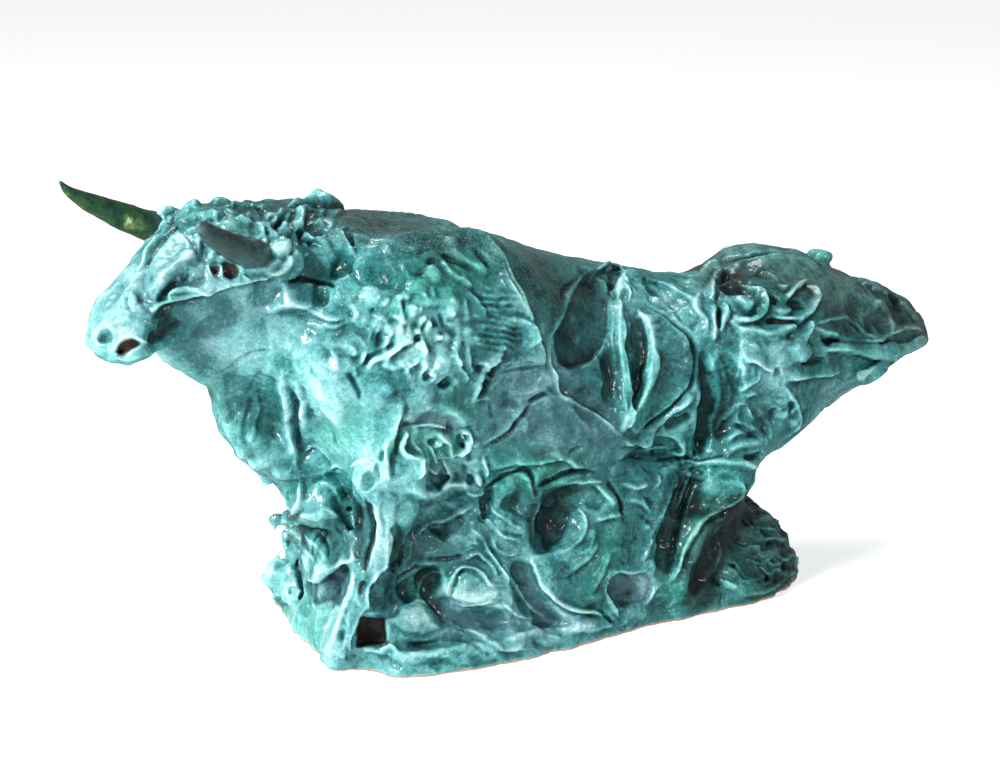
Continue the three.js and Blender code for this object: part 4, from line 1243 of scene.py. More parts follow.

# Ground, hind leg and rear rock.
refresh(2.2)
S("c", 5, 4, "534,545 530,530 531,514 539,500 551,490 570,483 590,481 606,482", ends=(0.1, 0.1))
S("c", 5.5, 3.2, "575,506 583,514 585,528 580,540 571,548 562,553", ends=(0.15, 0.2))
S("c", 4.2, 2.7, "596,529 593,541 586,551 575,556", ends=(0.15, 0.3))
B(592, 533, 4, 3, 3)
S("g", 3.4, 3.4, "608,481 616,494 621,507 623,521")
S("r", 5, 3, "593,521 610,517 626,516")
S("r", 6, 3, "595,485 606,496 612,508", ends=(0.2, 0.2))
S("c", 7, 6, "531,556 536,570 541,583 552,595 565,605 582,611 604,615", ends=(0.1, 0.15))
S("c", 5, 2.6, "506,568 514,584 524,600 535,612 548,622 562,627")
S("c", 5, 2.6, "497,592 507,606 518,615 535,619 554,625")
S("c", 6, 5, "452,603 449,589 453,576 461,568 473,568 483,575 489,584 502,586")
S("c", 4, 3.4, "451,603 468,606 485,603 501,601")
S("c", 5, 4, "462,562 475,555 487,561 495,571 499,583")
S("c", 4.5, 4, "484,545 494,557 503,570 510,584")
S("c", 5, 4.4, "417,598 419,584 427,575 441,574")
S("c", 4.5, 4, "399,608 414,604 428,608 437,618 440,628")
S("m", 20, 3, "408,634 420,620 432,612", ends=(0.2, 0.1))
lumps("435,620 456,620 458,630 436,632", 7, (1.2, 2.4), (1.4, 2.4), both=False)
S("s", 12, 3, "452,628 468,632 484,642 502,650 530,650", ends=(0.1, 0.2))
S("r", 9, 2.4, "398,641 430,637 460,634 472,637")
S("r", 8, 2.2, "410,655 440,652 470,647")
S("r", 8, 2.2, "505,640 530,634 552,630 575,636")
S("g", 3, 2, "470,646 488,654 500,660")
S("c", 4.2, 2.7, "487,500 494,514 508,524 526,530", ends=(0.2, 0.2))
S("c", 4.7, 3.2, "474,510 488,524 500,534 514,540 521,549", ends=(0.15, 0.2))
S("c", 3.9, 2.7, "488,531 495,545 508,556 521,553", ends=(0.2, 0.2))
S("c", 4.7, 3.2, "470,528 480,538 490,552 497,564 506,577", ends=(0.15, 0.2))
S("g", 3, 2.2, "499,530 512,534 526,538")
S("s", 14, 4, "416,540 424,528 433,523 447,523 460,514 474,506", ends=(0.15, 0.2))
S("r", 5, 3, "428,524 436,527 446,523")
S("r", 5, 3, "462,548 470,542 478,546")
S("g", 3.4, 3, "425,558 445,560 465,555")
lumps("462,535 482,535 484,552 464,552", 8, (1.2, 2.8), (1.4, 2.6))
B(548, 500, 6, 4, 3, turn=-50)
S("r", 5, 3, "520,470 527,480 531,492 534,500", ends=(0.2, 0.2))
S("c", 5, 4.6, "619,617 611,606 606,594 604,583 609,575 620,571 632,573 645,571", ends=(0.05, 0.1))
S("c", 4, 3.4, "663,580 657,588 652,598 642,607")
S("c", 5, 4, "658,517 651,532 646,548 643,564")
S("r", 5, 3, "624,500 640,505 653,513")
S("g", 3, 1.6, "638,494 650,502 663,505")
S("g", 3, 1.4, "636,515 646,520 657,519")
S("r", 6, 3, "622,484 636,489 648,484")
S("c", 4, 3, "655,470 660,482 652,492")
B(646, 527, 3, 3, 3)
B(648, 552, 2, 2, 2)
lumps("632,515 655,517 648,560 636,540", 5, (1.2, 2.6), (1.2, 2.4))
S("r", 6, 3, "600,540 585,560 566,575", ends=(0.2, 0.2))
S("r", 5, 2, "612,550 600,575 590,595", ends=(0.2, 0.2))
B(608, 622, 4, 4, 2.4)
B(609, 622, 1.6, 2.4, 2.4, cut=True, sink=0.1, k=0.6)
S("r", 8, 2.6, "560,632 590,628 620,622", ends=(0.2, 0.2))
S("g", 3, 2, "600,608 607,617 618,628")
# hind leg ridges
S("c", 8, 5, "742,480 743,495 733,504 718,512 704,519 694,530 686,545 681,560 676,576", ends=(0.1, 0.1))
S("c", 4, 3, "730,519 717,530 706,542 698,554 688,568")
S("c", 5, 3.6, "682,476 673,488 668,498 662,511 656,526 651,538 647,552 645,566")
S("r", 8, 4, "690,464 715,462 740,464 757,468")
B(706, 488, 4, 2, 2.4, turn=-20)
S("r", 5, 3, "692,470 684,492 676,515")
S("g", 3, 3, "676,480 668,500 660,524")
S("s", 12, 3, "760,470 752,480 744,492", ends=(0.2, 0.2))
scatter("655,445 700,445 700,480 655,478", 12, (6, 12), (2.5, 5), (1.4, 2.8), 10, kind="rcg", spread=35)
pits("620,440 710,445 705,480 640,470", 10, (1.0, 2.4), (3, 5))
# the rock behind, all rough strokes
B(732, 571, 10, 9, 6)
S("r", 6, 3.4, "720,574 727,585 739,588")
S("g", 3, 3, "727,560 736,572 745,580")
B(732, 566, 3, 2, 2, cut=True, sink=0.1, k=0.8)
scatter("745,500 775,505 792,545 800,580 760,590 745,560 725,540", 26, (14, 30), (4, 8), (1.6, 3.0), 15, kind="scrg", spread=24)
scatter("745,500 775,505 792,545 800,580 760,590 745,560 725,540", 34, (7, 16), (2.2, 4.2), (1.2, 2.4), 20, kind="cgs", spread=30)
lumps("735,510 770,515 790,545 800,585 760,595 740,560", 14, (1.6, 3.2), (1.2, 2.4))
pits("735,500 775,510 790,555 760,585", 12, (1.2, 2.6), (3, 5))
S("r", 8, 3, "742,594 765,590 785,580 800,566")
S("g", 3, 2.4, "738,585 762,580 788,568")
# skirts along the foot
scatter("330,655 470,648 620,618 700,600 700,612 620,632 470,662 340,670", 26, (8, 20), (4, 8), (0.8, 2.0), 0, kind="rsg", spread=18)
scatter("400,560 520,560 640,530 660,600 560,630 420,640", 16, (8, 18), (3, 7), (0.8, 1.8), 20, kind="rg", spread=60)


# ------------------------------------------------------------------ from clay to separate pieces
def node_fields(names, h=2.5, band=8):
    """For each CAD node, its signed distance in mm on a coarse grid round it: the low corner and the values."""
    out = {}
    for n in names:
        me = bpy.data.objects[n].data
        co = np.empty(len(me.vertices) * 3, np.float32)
        me.vertices.foreach_get("co", co)
        co = co.reshape(-1, 3) * 1000 + CENTRE
        me.calc_loop_triangles()
        tri = np.empty(len(me.loop_triangles) * 3, np.int32)
        me.loop_triangles.foreach_get("vertices", tri)
        lo = np.floor((co.min(0) - band * h - GRID_LO) / h).astype(int)
        hi = np.ceil((co.max(0) + band * h - GRID_LO) / h).astype(int)
        g = vdb.FloatGrid.createLevelSetFromPolygons(((co - GRID_LO) / h).astype(np.float32), triangles=tri.reshape(-1, 3).astype(np.uint32), halfWidth=float(band))
        arr = np.full(hi - lo + 1, float(band), np.float32)
        g.copyToArray(arr, ijk=tuple(int(v) for v in lo))
        out[n] = (lo * h + GRID_LO, arr * h)
    return out


def share_out(names, h=2.5):
    """Which node each voxel of clay belongs to: the one it lies deepest in or nearest to."""
    best = np.full(clay.f.shape, 1e9, np.float32)
    label = np.zeros(clay.f.shape, np.uint8)
    for k, (n, (lo, arr)) in enumerate(node_fields(names, h).items()):
        s, X, Y, Z = clay.sub(lo, lo + h * (np.array(arr.shape) - 1.01))
        v = arr
        for ax, line in enumerate((X.ravel(), Y.ravel(), Z.ravel())):
            q = np.clip((line - lo[ax]) / h, 0, arr.shape[ax] - 1.01)
            i = q.astype(int)
            t = (q - i).astype(np.float32).reshape([-1 if a == ax else 1 for a in range(3)])
            v = np.take(v, i, ax) * (1 - t) + np.take(v, i + 1, ax) * t
        w = v < best[s]
        best[s][w] = v[w]
        label[s][w] = k + 1
    near_any = best < 1e8
    if not near_any[clay.f < 0].all():
        label[~near_any] = names.index("barrel") + 1
    label[clay.f >= 0] = 0
    return label


def settle(label, times=5):
    """Crumbs and ragged edges of a piece go to the piece that surrounds them."""
    flat = label.reshape(-1)
    sx, sy = label.shape[1] * label.shape[2], label.shape[2]
    steps = [i * sx + j * sy + k for i in (-1, 0, 1) for j in (-1, 0, 1) for k in (-1, 0, 1) if i or j or k]
    for _ in range(times):
        edge = np.zeros(label.shape, bool)
        for ax in range(3):
            a, b = [slice(1, -1)] * 3, [slice(1, -1)] * 3
            a[ax], b[ax] = slice(1, -2), slice(2, -1)
            a, b = tuple(a), tuple(b)
            d = (label[a] != label[b]) & (label[a] > 0) & (label[b] > 0)
            edge[a] |= d
            edge[b] |= d
        at = np.flatnonzero(edge)
        same = np.zeros(len(at), np.int16)
        for s in steps:
            same += flat[at + s] == flat[at]
        weak = same < 13
        at, same = at[weak], same[weak]
        near = np.stack([flat[at + s] for s in steps])
        most = np.zeros(len(at), np.int16)
        pick = flat[at].copy()
        for row in near:
            c = (near == row).sum(0)
            c[(row == 0) | (row == flat[at])] = 0
            pick = np.where(c > most, row, pick)
            most = np.maximum(most, c)
        go = most > same
        if not go.any():
            break
        flat[at[go]] = pick[go]
    return label


def net(label):
    """Points and quads of every face between two labels, so that neighbours share their edges exactly.
    Returns points in mm, quads, and the labels behind and in front of each quad."""
    f = clay.f
    n = np.array(f.shape)
    flat = lambda i, j, k: (i * n[1] + j) * n[2] + k
    quads, back, front = [], [], []
    acc = {}
    cells, wpos = [], []
    for ax in range(3):
        a = [slice(None)] * 3
        b = [slice(None)] * 3
        a[ax], b[ax] = slice(0, -1), slice(1, None)
        ch = label[tuple(a)] != label[tuple(b)]
        e = np.argwhere(ch)
        for o in range(3):
            if o != ax:
                e = e[(e[:, o] > 0) & (e[:, o] < n[o] - 1)]
        e2 = e.copy()
        e2[:, ax] += 1
        la, lb = label[tuple(e.T)], label[tuple(e2.T)]
        fa, fb = f[tuple(e.T)], f[tuple(e2.T)]
        outer = (la == 0) | (lb == 0)
        t = np.where(outer, fa / np.where(np.abs(fa - fb) < 1e-6, 1e-6, fa - fb), 0.5).clip(0.02, 0.98)
        pos = e.astype(np.float32)
        pos[:, ax] += t
        u, v = (ax + 1) % 3, (ax + 2) % 3
        corner = []
        for du, dv in ((-1, -1), (0, -1), (0, 0), (-1, 0)):
            c = e.copy()
            c[:, u] += du
            c[:, v] += dv
            idx = flat(*c.T)
            corner.append(idx)
            cells.append(idx)
            wpos.append(np.column_stack([pos, outer]))
        quads.append(np.stack(corner, 1))
        back.append(la)
        front.append(lb)
    quads, back, front = np.vstack(quads), np.concatenate(back), np.concatenate(front)
    cells, wpos = np.concatenate(cells), np.vstack(wpos)
    ids, inv = np.unique(cells, return_inverse=True)
    has_outer = np.bincount(inv, wpos[:, 3], len(ids)) > 0
    w = np.where(has_outer[inv], wpos[:, 3], 1.0)
    tot = np.bincount(inv, w, len(ids))
    pts = np.stack([np.bincount(inv, w * wpos[:, k], len(ids)) / tot for k in range(3)], 1)
    quads = np.searchsorted(ids, quads)
    return pts * VOX + clay.lo, quads, back, front


def relax(pts, quads, times, amount):
    """Evens out the skin: each point moves part of the way to the middle of its neighbours."""
    e = np.vstack([quads[:, [0, 1]], quads[:, [1, 2]], quads[:, [2, 3]], quads[:, [3, 0]]])
    for _ in range(times):
        s = np.stack([np.bincount(e[:, 0], pts[e[:, 1], k], len(pts)) + np.bincount(e[:, 1], pts[e[:, 0], k], len(pts)) for k in range(3)], 1)
        c = np.bincount(e[:, 0], minlength=len(pts)) + np.bincount(e[:, 1], minlength=len(pts))
        m = s / np.maximum(c, 1)[:, None]
        pts = np.where((c > 0)[:, None], pts + amount * (m - pts), pts)
    return pts


def main_body(n, quads):
    """Which points hang together with the biggest sheet."""
    lab = np.arange(n)
    for _ in range(4000):
        m = lab[quads].min(1)
        new = lab.copy()
        np.minimum.at(new, quads.ravel(), np.repeat(m, 4))
        new = new[new]
        if (new == lab).all():
            break
        lab = new
    return lab == np.bincount(lab[quads[:, 0]], minlength=n).argmax()


def hash_noise(p, seed):
    """Smooth value noise in [-1, 1] with cells of size one."""
    i = np.floor(p).astype(np.int64)
    t = p - i
    t = t * t * (3 - 2 * t)
    out = 0
    for dx in (0, 1):
        for dy in (0, 1):
            for dz in (0, 1):
                h = (i[:, 0] + dx) * 73856093 ^ (i[:, 1] + dy) * 19349663 ^ (i[:, 2] + dz) * 83492791 ^ (seed * 2654435761)
                h = (h ^ (h >> 13)) * 1274126177 & 0xFFFFFFFF
                h = (h ^ (h >> 15)) & 0xFFFF
                out = out + (h / 32767.5 - 1) * (t[:, 0] if dx else 1 - t[:, 0]) * (t[:, 1] if dy else 1 - t[:, 1]) * (t[:, 2] if dz else 1 - t[:, 2])
    return out


def fbm(p, size, octaves, seed):
    out, amp = 0, 1.0
    for k in range(octaves):
        out = out + amp * hash_noise(p / size + 17.3 * k, seed + k)
        amp *= 0.5
        size *= 0.5
    return out


def fold_to_left(p):
    q = p.copy()
    q[:, 1] = np.minimum(q[:, 1], 2 * MID - q[:, 1])
    return q


def to_picture(p):
    r = p - EYE
    z = -(r @ BACK)
    return np.column_stack([PIC_W / 2 + FOCAL * (r @ RIGHT) / z, PIC_H / 2 - FOCAL * (r @ UP) / z])


def paint_mask(p, polygon, soft=12.0):
    """1 inside a picture polygon, falling off softly outside it; the far side takes the same as the near side."""
    q = to_picture(fold_to_left(p))
    poly = parse(polygon)
    ins = inside_polygon(poly, q[:, 0], q[:, 1])
    best = np.full(len(q), 1e9)
    for (ax, ay), (bx, by) in zip(poly, np.roll(poly, -1, 0)):
        ex, ey = bx - ax, by - ay
        t = np.clip(((q[:, 0] - ax) * ex + (q[:, 1] - ay) * ey) / (ex * ex + ey * ey + 1e-9), 0, 1)
        best = np.minimum(best, (q[:, 0] - ax - ex * t) ** 2 + (q[:, 1] - ay - ey * t) ** 2)
    d = np.sqrt(best) * np.where(ins, 1, -1)
    return np.clip(0.5 + d / (2 * soft), 0, 1)


# ------------------------------------------------------------------ materials
def nodes_of(mat):
    mat.use_nodes = True
    nt = mat.node_tree
    nt.nodes.clear()
    return nt


def N(nt, kind, **vals):
    n = nt.nodes.new(kind)
    for k, v in vals.items():
        if hasattr(n, k) and k not in n.inputs:
            setattr(n, k, v)
    return n


def glaze_material(name, horn=False):
    mat = bpy.data.materials.new(name)
    nt = nodes_of(mat)
    L = nt.links.new
    out = N(nt, "ShaderNodeOutputMaterial")
    b = N(nt, "ShaderNodeBsdfPrincipled")
    L(b.outputs[0], out.inputs[0])

    def attr(n):
        a = N(nt, "ShaderNodeAttribute")
        a.attribute_name = n
        return a.outputs["Fac"]

    def math_(op, x, y=0.5, clamp=False):
        m = N(nt, "ShaderNodeMath")
        m.operation = op
        m.use_clamp = clamp
        for i, v in enumerate((x, y)):
            if isinstance(v, (int, float)):
                m.inputs[i].default_value = v
            else:
                L(v, m.inputs[i])
        return m.outputs[0]

    def noise(scale, detail=3.0, rough=0.55, dist=0.0):
        n = N(nt, "ShaderNodeTexNoise")
        n.inputs["Scale"].default_value = scale
        n.inputs["Detail"].default_value = detail
        n.inputs["Roughness"].default_value = rough
        n.inputs["Distortion"].default_value = dist
        L(tc.outputs["Object"], n.inputs["Vector"])
        return n.outputs["Fac"]

    def ramp(fac, stops):
        r = N(nt, "ShaderNodeValToRGB")
        r.color_ramp.interpolation = "EASE"
        e = r.color_ramp.elements
        while len(e) < len(stops):
            e.new(0.5)
        for el, (p, c) in zip(e, stops):
            el.position = p
            el.color = (*c, 1)
        L(fac, r.inputs[0])
        return r.outputs[0]

    def mix(fac, x, y, kind="MIX"):
        m = N(nt, "ShaderNodeMix")
        m.data_type = "RGBA"
        m.blend_type = kind
        for sock, v in ((m.inputs[0], fac), (m.inputs[6], x), (m.inputs[7], y)):
            if isinstance(v, (int, float)):
                sock.default_value = v
            elif isinstance(v, tuple):
                sock.default_value = (*v, 1)
            else:
                L(v, sock)
        return m.outputs[2]

    tc = N(nt, "ShaderNodeTexCoord")
    cloud = noise(26.0, 4.0, 0.6, 0.4)
    fleck = noise(420.0, 2.0, 0.6)
    speck = noise(1300.0, 1.0, 0.5)
    # the tone attribute carries the glaze's depth of colour together with the painted light and shade laid in by tones
    # and horn
    if horn:
        t = math_("ADD", attr("tone"), math_("MULTIPLY", math_("SUBTRACT", cloud, 0.5), 0.35))
        t = math_("ADD", t, math_("MULTIPLY", math_("SUBTRACT", fleck, 0.5), 0.6))
        col = mix(attr("cool"), ramp(t, HORN_RAMP), ramp(t, COOL_RAMP))
    else:
        t = attr("tone")
        t = math_("ADD", t, math_("MULTIPLY", math_("SUBTRACT", cloud, 0.5), 0.22))
        t = math_("ADD", t, math_("MULTIPLY", math_("SUBTRACT", fleck, 0.5), 0.42))
        t = math_("ADD", t, math_("MULTIPLY", math_("SUBTRACT", noise(110.0, 3.0, 0.6, 0.5), 0.5), 0.30))
        t = math_("ADD", t, math_("MULTIPLY", math_("SUBTRACT", noise(860.0, 2.0, 0.6), 0.5), 0.34))
        col = ramp(t, GLAZE_RAMP)
        green = math_("MULTIPLY", math_("SUBTRACT", noise(17.0, 3.0, 0.6, 0.6), 0.47), 5.0, True)
        col = mix(math_("MULTIPLY", green, 0.75), col, (0.55, 1.0, 0.80), "MULTIPLY")
        col = mix(attr("dusty"), col, ramp(t, DUSTY_RAMP))
        # smoky grey-brown tint of the glaze, which on the rump also paints a sheen of reflected light
        col = mix(attr("smoke_and_sheen"), col, ramp(t, SMOKE_AND_SHEEN_RAMP))
        col = mix(attr("rust"), col, mix(cloud, (0.030, 0.014, 0.011), (0.12, 0.055, 0.042)))
        pale = math_("MULTIPLY", math_("GREATER_THAN", speck, 0.63), attr("speck"))
        col = mix(math_("MULTIPLY", pale, 0.42), col, (0.30, 0.62, 0.58))
        col = mix(attr("bare"), col, mix(cloud, (0.44, 0.24, 0.16), (0.56, 0.36, 0.27)))
    L(col, b.inputs["Base Color"])
    b.inputs["Coat Weight"].default_value = 0.45
    b.inputs["Coat Roughness"].default_value = 0.11
    b.inputs["Coat IOR"].default_value = 1.5
    b.inputs["Specular IOR Level"].default_value = 0.2
    b.inputs["IOR"].default_value = 1.5
    rough = math_("ADD", math_("MULTIPLY", noise(160.0, 3.0), 0.2), 0.3)
    if not horn:
        m = N(nt, "ShaderNodeMix")
        m.data_type = "FLOAT"
        L(attr("bare"), m.inputs[0])
        L(rough, m.inputs[2])
        m.inputs[3].default_value = 0.75
        rough = m.outputs[0]
    L(rough, b.inputs["Roughness"])
    h = math_("ADD", math_("MULTIPLY", noise(300.0, 4.0, 0.62, 0.3), 1.0), math_("MULTIPLY", noise(900.0, 2.0), 0.35))
    bump = N(nt, "ShaderNodeBump")
    bump.inputs["Strength"].default_value = 0.35
    bump.inputs["Distance"].default_value = 0.0009
    L(h, bump.inputs["Height"])
    L(bump.outputs[0], b.inputs["Normal"])
    soft = N(nt, "ShaderNodeBump")
    soft.inputs["Strength"].default_value = 0.25
    soft.inputs["Distance"].default_value = 0.0009
    L(noise(210.0, 3.0, 0.55), soft.inputs["Height"])
    L(soft.outputs[0], b.inputs["Coat Normal"])
    return mat


def srgb(r, g, b_):
    return tuple(((c / 255) / 12.92 if c / 255 <= 0.04045 else ((c / 255 + 0.055) / 1.055) ** 2.4) for c in (r, g, b_))


GLAZE_RAMP = [(0.0, srgb(2, 31, 32)), (0.2, srgb(10, 62, 62)), (0.42, srgb(40, 113, 113)), (0.62, srgb(86, 161, 162)), (0.82, srgb(138, 203, 204)), (1.0, srgb(188, 228, 226))]
DUSTY_RAMP = [(0.0, srgb(18, 46, 54)), (0.4, srgb(64, 102, 112)), (0.7, srgb(112, 154, 162)), (1.0, srgb(176, 206, 212))]
# ramp of the smoky tint, also used as a painted sheen on the rump
SMOKE_AND_SHEEN_RAMP = [(0.0, srgb(12, 26, 24)), (0.3, srgb(40, 62, 58)), (0.6, srgb(84, 112, 106)), (1.0, srgb(160, 186, 180))]
HORN_RAMP = [(0.0, srgb(16, 50, 38)), (0.45, srgb(44, 78, 48)), (0.75, srgb(96, 116, 66)), (1.0, srgb(206, 214, 176))]
COOL_RAMP = [(0.0, srgb(22, 40, 40)), (0.45, srgb(54, 78, 78)), (0.75, srgb(98, 128, 126)), (1.0, srgb(160, 190, 186))]


# ------------------------------------------------------------------ build the meshes
def point_normals(pts, quads):
    d = np.cross(pts[quads[:, 2]] - pts[quads[:, 0]], pts[quads[:, 3]] - pts[quads[:, 1]])
    return unit(np.stack([np.bincount(quads.ravel(), np.repeat(d[:, k], 4), len(pts)) for k in range(3)], 1))


def make_mesh(name, pts, faces, attrs, normals):
    me = bpy.data.meshes.new(name)
    me.vertices.add(len(pts))
    me.vertices.foreach_set("co", ((pts - CENTRE) / 1000).astype(np.float32).ravel())
    n = faces.shape[1]
    me.loops.add(faces.size)
    me.loops.foreach_set("vertex_index", faces.astype(np.int32).ravel())
    me.polygons.add(len(faces))
    me.polygons.foreach_set("loop_start", np.arange(0, faces.size, n, dtype=np.int32))
    me.polygons.foreach_set("use_smooth", np.ones(len(faces), bool))
    me.update(calc_edges=True)
    for k, v in attrs.items():
        a = me.attributes.new(k, "FLOAT", "POINT")
        a.data.foreach_set("value", v.astype(np.float32))
    me.normals_split_custom_set_from_vertices(normals.astype(np.float32))
    o = bpy.data.objects.new(name, me)
    bpy.context.scene.collection.objects.link(o)
    return o


def tones(p):
    """What the glaze does at each point: depth of colour, dustiness, smoky tint, rust, flecks and bare clay; the depth
    of colour also carries painted light and shade.
    """
    near_, mid, wide = soft_copy(clay.f, 1.25, 1), soft_copy(clay.f, 4.0), soft_copy(clay.f, 9.0, 4)
    nrm = clay.gradient(p, soft_copy(clay.f, 3.0), 2.0)
    fine = clay.sample(p, near_) / 0.8
    mid = clay.sample(p, mid) / 2.2
    wide = clay.sample(p, wide) / 5.0
    n1, n2, n3 = fbm(p, 38.0, 3, 11), fbm(p, 11.0, 3, 31), fbm(p, 4.5, 2, 51)
    t = 0.42 + 0.15 * np.clip(fine, -1.1, 1.0) + 0.05 * np.clip(fine - 0.6, 0, 1) + 0.11 * np.clip(mid, -1, 1) + 0.10 * np.clip(wide, -1, 1) + 0.09 * n1 + 0.08 * n2 + 0.05 * n3
    # painted light: surfaces facing the head, where the key light comes from, are made paler and those facing the tail
    # darker
    t = t - 0.14 * nrm[:, 0]
    out = {"dusty": 0.12 + 0.25 * n1, "smoke_and_sheen": 0.05 + 0.15 * n2, "speck": np.full(len(p), 0.06), "rust": np.clip((-fine - 1.35) * 2.0, 0, 1) * np.clip(0.4 + 1.2 * n2, 0, 1)}
    # local changes drawn in the picture; some of them are painted light or shade, as marked in PAINT
    for poly, amount, soft in PAINT:
        m = paint_mask(p, poly, soft)
        for k, v in amount.items():
            if k == "crisp":
                t += v * m * np.clip(fine, -1.2, 1.2)
            elif k == "tone":
                t += v * m
            else:
                out[k] = out[k] + v * m
    q = to_picture(fold_to_left(p))
    # pale edge lines and dark crease lines: partly the glaze, partly painted highlight and painted shade
    for text, width, amount in LINES:
        t += amount * line_share(q, parse(text), width)
    out["bare"] = np.clip((1.6 - p[:, 2]) / 1.0 + 0.25 * n2, 0, 1)
    out["tone"] = t
    return {k: np.clip(v, 0, 1) for k, v in out.items()}


def line_share(q, line, width):
    """1 on a line drawn in the picture, falling off over its width."""
    lo, hi = line.min(0) - 3 * width, line.max(0) + 3 * width
    i = np.flatnonzero((q[:, 0] > lo[0]) & (q[:, 0] < hi[0]) & (q[:, 1] > lo[1]) & (q[:, 1] < hi[1]))
    best = np.full(len(i), 1e9)
    a = spline(np.column_stack([line, np.zeros(len(line))]), step=6.0)[:, :2]
    for (ax, ay), (bx, by) in zip(a[:-1], a[1:]):
        ex, ey = bx - ax, by - ay
        wx, wy = q[i, 0] - ax, q[i, 1] - ay
        u = np.clip((wx * ex + wy * ey) / (ex * ex + ey * ey + 1e-9), 0, 1)
        best = np.minimum(best, (wx - ex * u) ** 2 + (wy - ey * u) ** 2)
    out = np.zeros(len(q))
    out[i] = np.exp(-best / (0.5 * width * width))
    return out


LINES = [
    # a line in picture points, its width there, how much: above zero a pale edge line, thin glaze on the edge and a
    # painted highlight; below zero a dark crease line, glaze run thick and painted shade
    ("391,533 391,545 388,556 385,568 378,573 370,585 366,598 367,606 360,615 354,628 350,640 350,650", 1.76, 0.19),
    ("353,570 351,585 347,600 343,612 338,628 335,640", 1.6, 0.17),
    ("322,509 334,513 344,523 355,538 351,549 353,559", 1.44, 0.18),
    ("357,559 345,562 333,571 320,579 305,582", 1.44, 0.22),
    ("290,529 299,541 308,553 315,563 318,572", 1.92, 0.13),
    ("303,530 311,541 320,551 326,561", 1.92, 0.13),
    ("586,274 578,281 570,292 566,303 562,315 553,327 547,340 547,352 552,365 556,380 562,396 580,406 602,419 618,434", 2.4, 0.13),
    ("622,304 619,325 621,350 624,375 627,400 626,425", 2.72, 0.16),
    ("639,311 645,325 649,340 648,356 645,374 640,391 632,407 624,424", 1.92, 0.18),
    ("740,336 741,350 740,362 737,376", 1.76, 0.22),
    # painted highlight along the rump's long crest
    ("760,259 785,257 810,261 835,268 855,279 868,290 876,299", 2.4, 0.14),
    ("874,302 882,301 886,306 890,318 893,333", 1.92, 0.13),
    ("868,341 880,340 892,334 904,330 916,328 923,331", 1.6, 0.16),
    ("815,324 828,320 842,318 853,318 858,324 862,332", 1.44, 0.12),
    ("619,617 611,606 606,594 604,583 609,575 620,571 632,573 645,571", 1.44, 0.2),
    ("531,556 536,570 541,583 552,595 565,605 582,611 604,615", 1.6, 0.17),
    ("452,603 449,589 453,576 461,568 473,568 483,575 489,584 502,586", 1.6, 0.17),
    ("417,598 419,584 427,575 441,574", 1.6, 0.13),
    ("399,608 414,604 428,608 437,618", 1.6, 0.13),
    ("506,568 514,584 524,600 535,612 548,622", 1.6, 0.13),
    ("742,480 743,495 733,504 718,512 704,519 694,530 686,545 681,560 676,576", 1.6, 0.18),
    ("692,486 684,505 677,530 671,560", 2.4, 0.12),
    ("503,264 512,282 522,300 529,316", 1.92, 0.13),
    ("403,322 407,333 403,343 392,350 380,355 371,361 368,371", 2.56, 0.16),
    ("507,344 498,355 487,365 481,376 477,389 473,402", 3.2, 0.14),
    ("283,284 284,296 287,306", 1.92, 0.22),
    ("281,371 284,390 287,410 290,435 294,455 297,470", 2.4, 0.12),
    ("222,374 231,366 241,358 252,353 262,352 278,351", 1.6, 0.08),
    ("141,266 152,248 162,234 174,218", 2.4, 0.09),
    ("152,303 165,298 185,296 203,294 216,286", 1.6, 0.13),
    ("177,228 187,238 196,249", 2.0, -0.25),
    ("182,281 186,273 191,272 189,279 184,283", 1.4, 0.25),
    ("207,266 213,261 222,262 222,275", 1.6, 0.25),
    ("225,263 236,263 240,270 238,279", 1.6, 0.25),
    ("117,354 118,347 124,340 133,337 141,340 152,345", 1.6, 0.22),
    ("97,344 96,335 102,328 110,329 114,336 113,343", 1.6, 0.22),
    # painted shade: the dark band along the lower edge of the elbow dome
    ("405,425 420,423 436,423 452,429", 1.8, -0.3),
    ("146,268 156,251 166,239 177,228", 2.08, -0.27),
    ("366,500 371,520 371,538 368,556 365,570", 2.08, -0.36),
    ("485,487 497,480 510,474 524,469 530,476 533,487", 1.76, -0.27),
    ("536,487 548,482 562,475 578,470 594,472", 1.76, -0.27),
    ("282,281 300,280 318,281 330,283 337,292", 1.76, -0.23),
    ("500,372 515,370 530,368 547,365", 1.44, -0.18),
    ("530,404 520,416 511,429 504,435 494,440 483,448", 1.6, -0.23),
    ("608,481 616,494 621,507 623,521", 1.6, -0.27),
    ("303,584 306,596 309,609", 1.6, -0.27),
    ("655,461 680,457 700,460 722,456", 1.92, -0.27),
    ("686,390 677,401 665,411 651,422 641,430", 1.6, -0.23),
    ("822,342 840,342 860,343 880,343 892,341", 1.6, -0.27),
]


